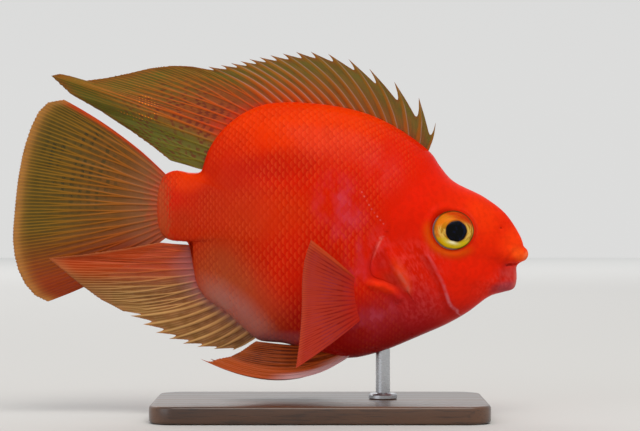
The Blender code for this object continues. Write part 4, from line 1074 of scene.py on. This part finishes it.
def make_fin(name, finish, rays, root_half, steps, rows, spiny=False, free=0.0, tip_half=0.16, web_half=0.14,
             wave=0.25, spine_width=0.75, ray_width=0.42):
    """A fin as a grid laid over its rays, thickened by a Solidify whose weight follows each ray.

    A spine is one ridge. A soft ray forks twice on its way out, into four fine branches.
    """
    count = len(rays)
    rays = np.array(rays, float)
    root_half, spiny, free = (np.broadcast_to(given, count) for given in (root_half, spiny, free))
    deselect()
    bpy.ops.mesh.primitive_grid_add(x_subdivisions=(count - 1) * steps, y_subdivisions=rows, size=2.0)
    fin = named(name)
    grid = read_points(fin)
    along = (grid[:, 0] + 1) / 2 * (count - 1)
    v = (grid[:, 1] + 1) / 2
    ray = np.minimum(along.astype(int), count - 2)
    part = along - ray
    nearest = np.clip(np.round(along).astype(int), 0, count - 1)
    off = along - nearest
    is_spine = spiny[nearest]
    notch = (1 - (1 - part) ** 8) * (1 - part) ** 0.8 * 1.15
    frayed = 0.004 * np.sin(along * 37.0) * np.sin(along * 11.3)
    reach_v = v * (1 - free[ray] * notch + frayed * ease(v, 0.8, 1.0))

    def at(which, t):
        t = t[:, None]
        return rays[which, 0] * (1 - t) ** 2 + rays[which, 1] * 2 * t * (1 - t) + rays[which, 2] * t**2

    first, second = at(ray, reach_v), at(ray + 1, reach_v)
    gap = np.linalg.norm(second - first, axis=1)
    fork_one = 0.25 * ease(v, 0.18, 0.55)
    fork_two = 0.125 * ease(v, 0.5, 0.85)
    branch = np.where(is_spine, np.abs(off), np.abs(np.abs(np.abs(off) - fork_one) - fork_two))
    width = np.where(is_spine, spine_width * (1 - 0.4 * v), ray_width * (1 - 0.45 * v))
    ridge = bell(branch * np.maximum(gap, 0.3), width)
    crest = root_half[nearest] * (1 - v) + tip_half * v
    half = web_half + np.maximum(crest - web_half, 0.02) * ridge
    waving = wave * np.sin(part * math.pi) * np.sin(v * 7.0 + ray * 1.7) * ease(v, 0.05, 0.4)
    sideways = np.cross(second - first, at(ray, np.clip(reach_v + 0.02, 0, 1)) - first)
    sideways /= np.maximum(np.linalg.norm(sideways, axis=1), 1e-6)[:, None]
    write_points(fin, first + (second - first) * part[:, None] + sideways * waving[:, None])
    lengths = np.linalg.norm(rays[:, 2] - rays[:, 0], axis=1)
    set_attributes(fin, ray=ridge, out=v, across=along / (count - 1), length=v * lengths[nearest],
                   stripe=0.5 - 0.5 * np.cos(part * 2 * math.pi * FIN_STRIPES), margin=ease(v, 0.88, 1.0),
                   # The next value marks where a painted highlight runs along each spine's front edge.
                   lead=np.where(is_spine, bell(off * gap + width, 0.28), 0.0))
    group = fin.vertex_groups.new(name="thickness")
    for index, weight in enumerate(half / half.max()):
        group.add([index], float(weight), "REPLACE")
    thicken = fin.modifiers.new("thicken", "SOLIDIFY")
    thicken.thickness = 2 * half.max() * MM
    thicken.offset = 0.0
    thicken.vertex_group = "thickness"
    apply_modifiers(fin)
    shade_smooth(fin, finish)
    return fin


def make_median_fin(name, finish, tips, base, spines, soft_rays, bows, swing, halves, dips, steps, rows,
                    spine_width):
    """Dorsal or anal fin: spines in front, then soft rays out to a rear lobe that is bent aside.

    base is the angles of its front and rear end on the outline, spines and soft_rays are how many there are
    and where along the base they end or start, and dips is how far the web between two spines falls short.
    """
    shares = np.concatenate([np.linspace(0, 1, spines[0]) ** 0.94 * spines[1],
                             np.linspace(soft_rays[1], 0.995, soft_rays[0])])
    rays = []
    for share, root, tip in zip(shares, along_rim(*base, shares, ROOT_SINK), tips_at(tips, shares)):
        lobe = float(ease(share, 0.55, 0.84))
        control = bowed_control(root, tip, math.radians(bows[0] + (bows[1] - bows[0]) * lobe))
        aside = math.copysign(min(0.2 * np.linalg.norm(tip - root), abs(swing)), swing) * lobe
        rays.append(ray_points((root, control, tip), (0, 0.42 * aside, aside)))
    spiny = np.arange(len(rays)) < spines[0]
    free = np.where(spiny, dips[0] + dips[1] * (1 - ease(shares, 0.0, 0.26)), 0.0)
    return make_fin(name, finish, rays, np.where(spiny, *halves), steps, rows, spiny, free,
                    spine_width=spine_width)


def make_caudal(finish):
    """Tail fin: forking rays fanned from the stalk's end, a little twisted from top to bottom."""
    shares = np.linspace(0, 1, 17)
    root_curve = smooth_curve(CAUDAL_ROOT, 10)
    travelled = np.linspace(0, 1, len(root_curve))
    roots = np.stack([np.interp(shares, travelled, line) for line in root_curve.T], axis=1)
    rays = []
    for share, root, tip in zip(2 * shares - 1, roots, tips_at(CAUDAL_TIPS, shares)):
        control = bowed_control(root, tip, math.radians(9.0) * share)
        rays.append(ray_points((root, control, tip), (0, 0.96 * share, 2.4 * share)))
    return make_fin("caudal_fin_fine", finish, rays, 0.52 - 0.12 * np.abs(2 * shares - 1), 24, 64)


def make_pectoral(name, side, finish):
    """Pectoral fin: a thin fan that stands off the flank."""
    top, bottom = np.array(PECTORAL_ROOT)
    shares = np.linspace(0, 1, 14)
    rays = []
    for share, tip in zip(shares, tips_at(PECTORAL_TIPS, shares)):
        root = top + (bottom - top) * share
        skin = float(flank(*root))
        lift = np.linalg.norm(tip - root) * math.tan(PECTORAL_SPREAD)
        control = bowed_control(root, tip, math.radians(-6.0 + 12.0 * share))
        sideways = side * np.array([skin - ROOT_SINK, skin + 0.62 * lift, skin + lift])
        rays.append(ray_points((root + (1.5, 0), control, tip), sideways))
    return make_fin(name, finish, rays, 0.11, 24, 60, tip_half=0.11, web_half=0.11, wave=0.05, ray_width=0.6)


def make_pelvic(name, side, finish, shift):
    """Pelvic fin: a spine and soft rays swept back under the belly, their tips moved by shift."""
    front, rear = np.array(PELVIC_ROOT)
    shares = np.linspace(0, 1, 6)
    rays = []
    for share, tip in zip(shares, tips_at(PELVIC_TIPS, shares) + shift):
        root = front + (rear - front) * share
        seen = np.array([root, (root + tip) / 2 + np.array([5.0, -16.3]) * (1 - share) ** 1.3, tip])
        aside = 5.2 + (front - seen) @ (0.12, 0.30) - (1.0, 0, 0)
        rays.append(ray_points(seen + [(0, ROOT_SINK), (0, 0), (0, 0)], side * aside))
    spiny = shares == 0
    return make_fin(name, finish, rays, np.where(spiny, 1.0, 0.55), 28, 60, spiny, np.where(spiny, 0.04, 0.0),
                    wave=0.2)


# Eyes.

def lens_points(ball):
    """Points of the lens from those of a ball: its front stands proud of the eye, its back lies inside."""
    out = np.hypot(ball[:, 0], ball[:, 1])
    turn = np.arctan2(ball[:, 1], ball[:, 0])
    uneven = PUPIL_RADIUS * (1 + 0.012 * np.sin(5 * turn + 1.0) + 0.010 * np.sin(9 * turn + 2.2))
    a = ball[:, 0] * uneven * 1.02 + PUPIL_SHIFT[0]
    b = ball[:, 1] * uneven * 0.96 + PUPIL_SHIFT[1]
    eyeball = EYE_HALF[2] * np.sqrt(np.maximum(1 - (a / EYE_HALF[0]) ** 2 - (b / EYE_HALF[1]) ** 2, 0))
    proud = np.where(ball[:, 2] > 0, LENS_PROUD * np.sqrt(np.maximum(1 - out**2, 0)), ball[:, 2])
    return np.stack([a, b, eyeball + proud], axis=1)


def mark_iris(eyeball, ball):
    """Keeps the iris's colours, its painted highlight and rim reflection, and its folds as attributes, from
    places on a ball, forwards and up positive.
    """
    a, b, c = ball.T
    out = np.hypot(a, b)
    beyond_lens = ball[:, :2] * EYE_HALF[:2] - PUPIL_SHIFT
    turn = np.arctan2(beyond_lens[:, 1], beyond_lens[:, 0])
    orange = np.maximum(ease(b - 0.25 * a, 0.12, 0.5), 0.8 * bell(out - 0.8, 0.08) * ease(-a, 0.1, 0.5))
    set_attributes(eyeball, share=np.where(c > 0, out, 1.0),
                   from_lens=np.hypot(*beyond_lens.T) / PUPIL_RADIUS,
                   swirl_x=IRIS_SWIRL[0] * np.cos(turn), swirl_y=IRIS_SWIRL[0] * np.sin(turn),
                   swirl_out=IRIS_SWIRL[1] * out, orange=orange, ember=ease(b + 0.5 * a, 0.4, 0.75),
                   # The last value on the next line places a painted highlight under the pupil.
                   yellow=ease(-b - 0.1 * a, 0.3, 0.6), glow=mound(a, b, (-0.12, -0.61), (0.22, 0.07), -0.25),
                   # The next value places a painted grey-lilac reflection on the rim's lower rear.
                   ash=ease(out, 0.88, 0.93) * ease(-a - 0.5 * b, 0.2, 0.6))


def make_eye(word, side, iris_finish, lens_finish):
    """Eyeball with its golden iris, and the dark lens standing a little proud in the middle."""
    middle, *directions = eye_frame(side)
    directions = np.array(directions)
    made = []
    for part_name, finish in (("iris_", iris_finish), ("lens_", lens_finish)):
        deselect()
        bpy.ops.mesh.primitive_uv_sphere_add(segments=96, ring_count=64, radius=1.0)
        piece = named(part_name + word)
        ball = read_points(piece)
        local = lens_points(ball) if finish is lens_finish else ball * EYE_HALF
        write_points(piece, np.array(middle) + local @ directions)
        if finish is iris_finish:
            mark_iris(piece, ball)
        if np.linalg.det(directions) < 0:
            piece.data.flip_normals()
        shade_smooth(piece, finish)
        made.append(piece)
    return made


# Stand.

def edit_mode(on, select=None):
    """Turns edit mode on or off, and in edit mode selects all or nothing where that is asked for."""
    bpy.ops.object.mode_set(mode="EDIT" if on else "OBJECT")
    if select:
        bpy.ops.mesh.select_all(action=select)


def make_base(finish):
    """Wooden base block with rounded corners and a softened top edge."""
    low, high = np.array(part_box("stand_base"))
    size = high - low
    deselect()
    bpy.ops.mesh.primitive_cube_add(size=1.0, location=(low + high) / 2)
    base = named("walnut_base")
    base.scale = size
    settle(base)
    edit_mode(True, "DESELECT")
    bpy.ops.mesh.select_mode(type="EDGE")
    edit_mode(False)
    points = read_points(base)
    for edge in base.data.edges:
        a, b = points[list(edge.vertices)]
        edge.select = bool(abs(a[2] - b[2]) > size[2] / 2)
    edit_mode(True)
    bpy.ops.mesh.bevel(offset=9 * MM, segments=12)
    edit_mode(False)
    soften = base.modifiers.new("soften", "BEVEL")
    soften.width = 1.0 * MM
    soften.segments = 4
    soften.limit_method = "ANGLE"
    soften.angle_limit = math.radians(60)
    apply_modifiers(base)
    shade_smooth(base, finish)
    base.data.set_sharp_from_angle(angle=math.radians(50))
    return base


def make_rod(finish):
    """Steel rod and its collar: a disc drawn out step by step, sunk into the belly above."""
    low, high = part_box("stand_rod")
    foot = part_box("stand_base")[1][2]
    top = (high[2] - foot) / MM + ROD_SINK
    deselect()
    bpy.ops.mesh.primitive_circle_add(vertices=64, radius=ROD_STEPS[0][0] * MM, fill_type="NGON",
                                      location=((low[0] + high[0]) / 2, 0, foot))
    rod = named("steel_rod")
    edit_mode(True, "SELECT")
    steps = [*ROD_STEPS, (ROD_STEPS[-1][0], top)]
    for (here, level), (radius, height) in zip(steps, steps[1:]):
        bpy.ops.mesh.extrude_region_move(TRANSFORM_OT_translate={"value": (0, 0, (height - level) * MM)})
        if radius != here:
            bpy.ops.transform.resize(value=(radius / here, radius / here, 1))
    bpy.ops.mesh.select_all(action="SELECT")
    bpy.ops.mesh.normals_make_consistent(inside=False)
    edit_mode(False)
    settle(rod)
    shade_smooth(rod, finish)
    rod.data.set_sharp_from_angle(angle=math.radians(35))
    return rod


# Room, light and camera.

def make_room():
    """A pale paper floor with painted light: it grows lighter far off, so that it meets the pale room without
    a line.
    """
    deselect()
    bpy.ops.mesh.primitive_plane_add(size=1.0, location=(0, 0, -FLOOR_GAP * MM))
    floor = named("studio_floor")
    floor.scale = (6.0, 6.0, 1.0)
    settle(floor)
    paper, add, place = new_material("pale_paper")
    # Painted light: the paper's colour grows lighter with distance from the middle.
    colour = paint(add, srgb("#c8c7c5"), (add("ramp", add("length_of", place), 1.3, 3.0), "#f4f4f2"))
    shade_smooth(floor, set_shader(paper, Base_Color=colour, Roughness=1.0, Specular_IOR_Level=0.0))


def add_to_scene(name, data, at):
    made = bpy.data.objects.new(name, data)
    bpy.context.scene.collection.objects.link(made)
    made.location = at
    return made


def make_studio():
    """Three softboxes round the fish in a pale room."""
    middle = Vector((0.0, 0.0, 0.07))
    for name, at, size, power, tint in SOFTBOXES:
        data = bpy.data.lights.new(name, "AREA")
        data.shape = "RECTANGLE"
        data.size, data.size_y = size
        data.energy = power
        data.color = srgb(tint)[:3]
        light = add_to_scene(name, data, at)
        light.rotation_euler = (middle - Vector(at)).to_track_quat("-Z", "Y").to_euler()
    world = bpy.data.worlds.new("pale_room")
    world.use_nodes = True
    background = world.node_tree.nodes["Background"]
    background.inputs["Strength"].default_value = 0.75
    add = partial(add_node, world.node_tree)
    upward = add("ramp", add("height_of", add("sky")), 0.05, 0.3)
    fill(world.node_tree, background.inputs["Color"], paint(add, srgb("#fafaf9"), (upward, "#eeeff0")))
    bpy.context.scene.world = world
    bpy.context.scene.view_settings.view_transform = "Standard"


def make_camera():
    data = bpy.data.cameras.new("camera")
    data.sensor_width = SENSOR
    data.lens = SENSOR * CAMERA_DISTANCE / FRAME_WIDTH
    data.clip_start = 0.01
    data.clip_end = 20.0
    camera = add_to_scene("camera", data, (0, -CAMERA_DISTANCE * MM, CAMERA_HEIGHT * MM))
    camera.rotation_euler = (math.pi / 2, 0, 0)
    bpy.context.scene.camera = camera


def main():
    make_camera()
    make_room()
    make_studio()
    skin, scale, iris, lens = skin_material(), scale_material(), iris_material(), lens_material()
    rest_on_frame(make_skin(skin), "flesh", "head", "lower_jaw", "trunk", "tail_stalk")
    grid = girth_grid()
    seats = scale_seats(*grid)
    for word, side in SIDES:
        rest_on_frame(make_gill_flap("gill_flap_" + word, side, skin), "flesh", "gill_cover_" + word)
        rest_on_frame(make_scales("scales_" + word, side, scale, seats, partial(flank_point, *grid)), "flesh")
    for word, side in SIDES:
        ball, pupil = make_eye(word, side, iris, lens)
        rest_on_frame(ball, "eye", "eye_" + word)
        rest_on_frame(pupil, "eye")
    membranes = {fin: fin_material(fin, **looks) for fin, looks in FIN_LOOKS.items()}
    dorsal = make_median_fin("dorsal_fin_fine", membranes["dorsal"], DORSAL_TIPS, (36.5, 151.0), (16, 0.62),
                             (13, 0.65), (-13.0, -1.0), 8.0, (0.75, 0.55), (0.13, 0.42), 16, 64, 1.15)
    anal = make_median_fin("anal_fin_fine", membranes["anal"], ANAL_TIPS, (239.0, 184.5), (8, 0.50),
                           (10, 0.54), (12.0, 2.0), -9.0, (0.7, 0.5), (0.16, 0.0), 20, 60, 0.95)
    rest_on_frame(dorsal, "fin", "dorsal_fin")
    rest_on_frame(anal, "fin", "anal_fin")
    rest_on_frame(make_caudal(membranes["caudal"]), "fin", "caudal_fin")
    for word, side in SIDES:
        pectoral = make_pectoral("pectoral_fin_fine_" + word, side, membranes["pectoral"])
        rest_on_frame(pectoral, "fin", "pectoral_fin_" + word)
    for word, side in SIDES:
        pelvic = make_pelvic("pelvic_fin_fine_" + word, side, membranes["pelvic"], PELVIC_SHIFT[word])
        rest_on_frame(pelvic, "fin", "pelvic_fin_" + word)
    rest_on_frame(make_base(wood_material()), "stand_wood", "stand_base")
    rest_on_frame(make_rod(steel_material()), "stand_steel", "stand_rod")


main()
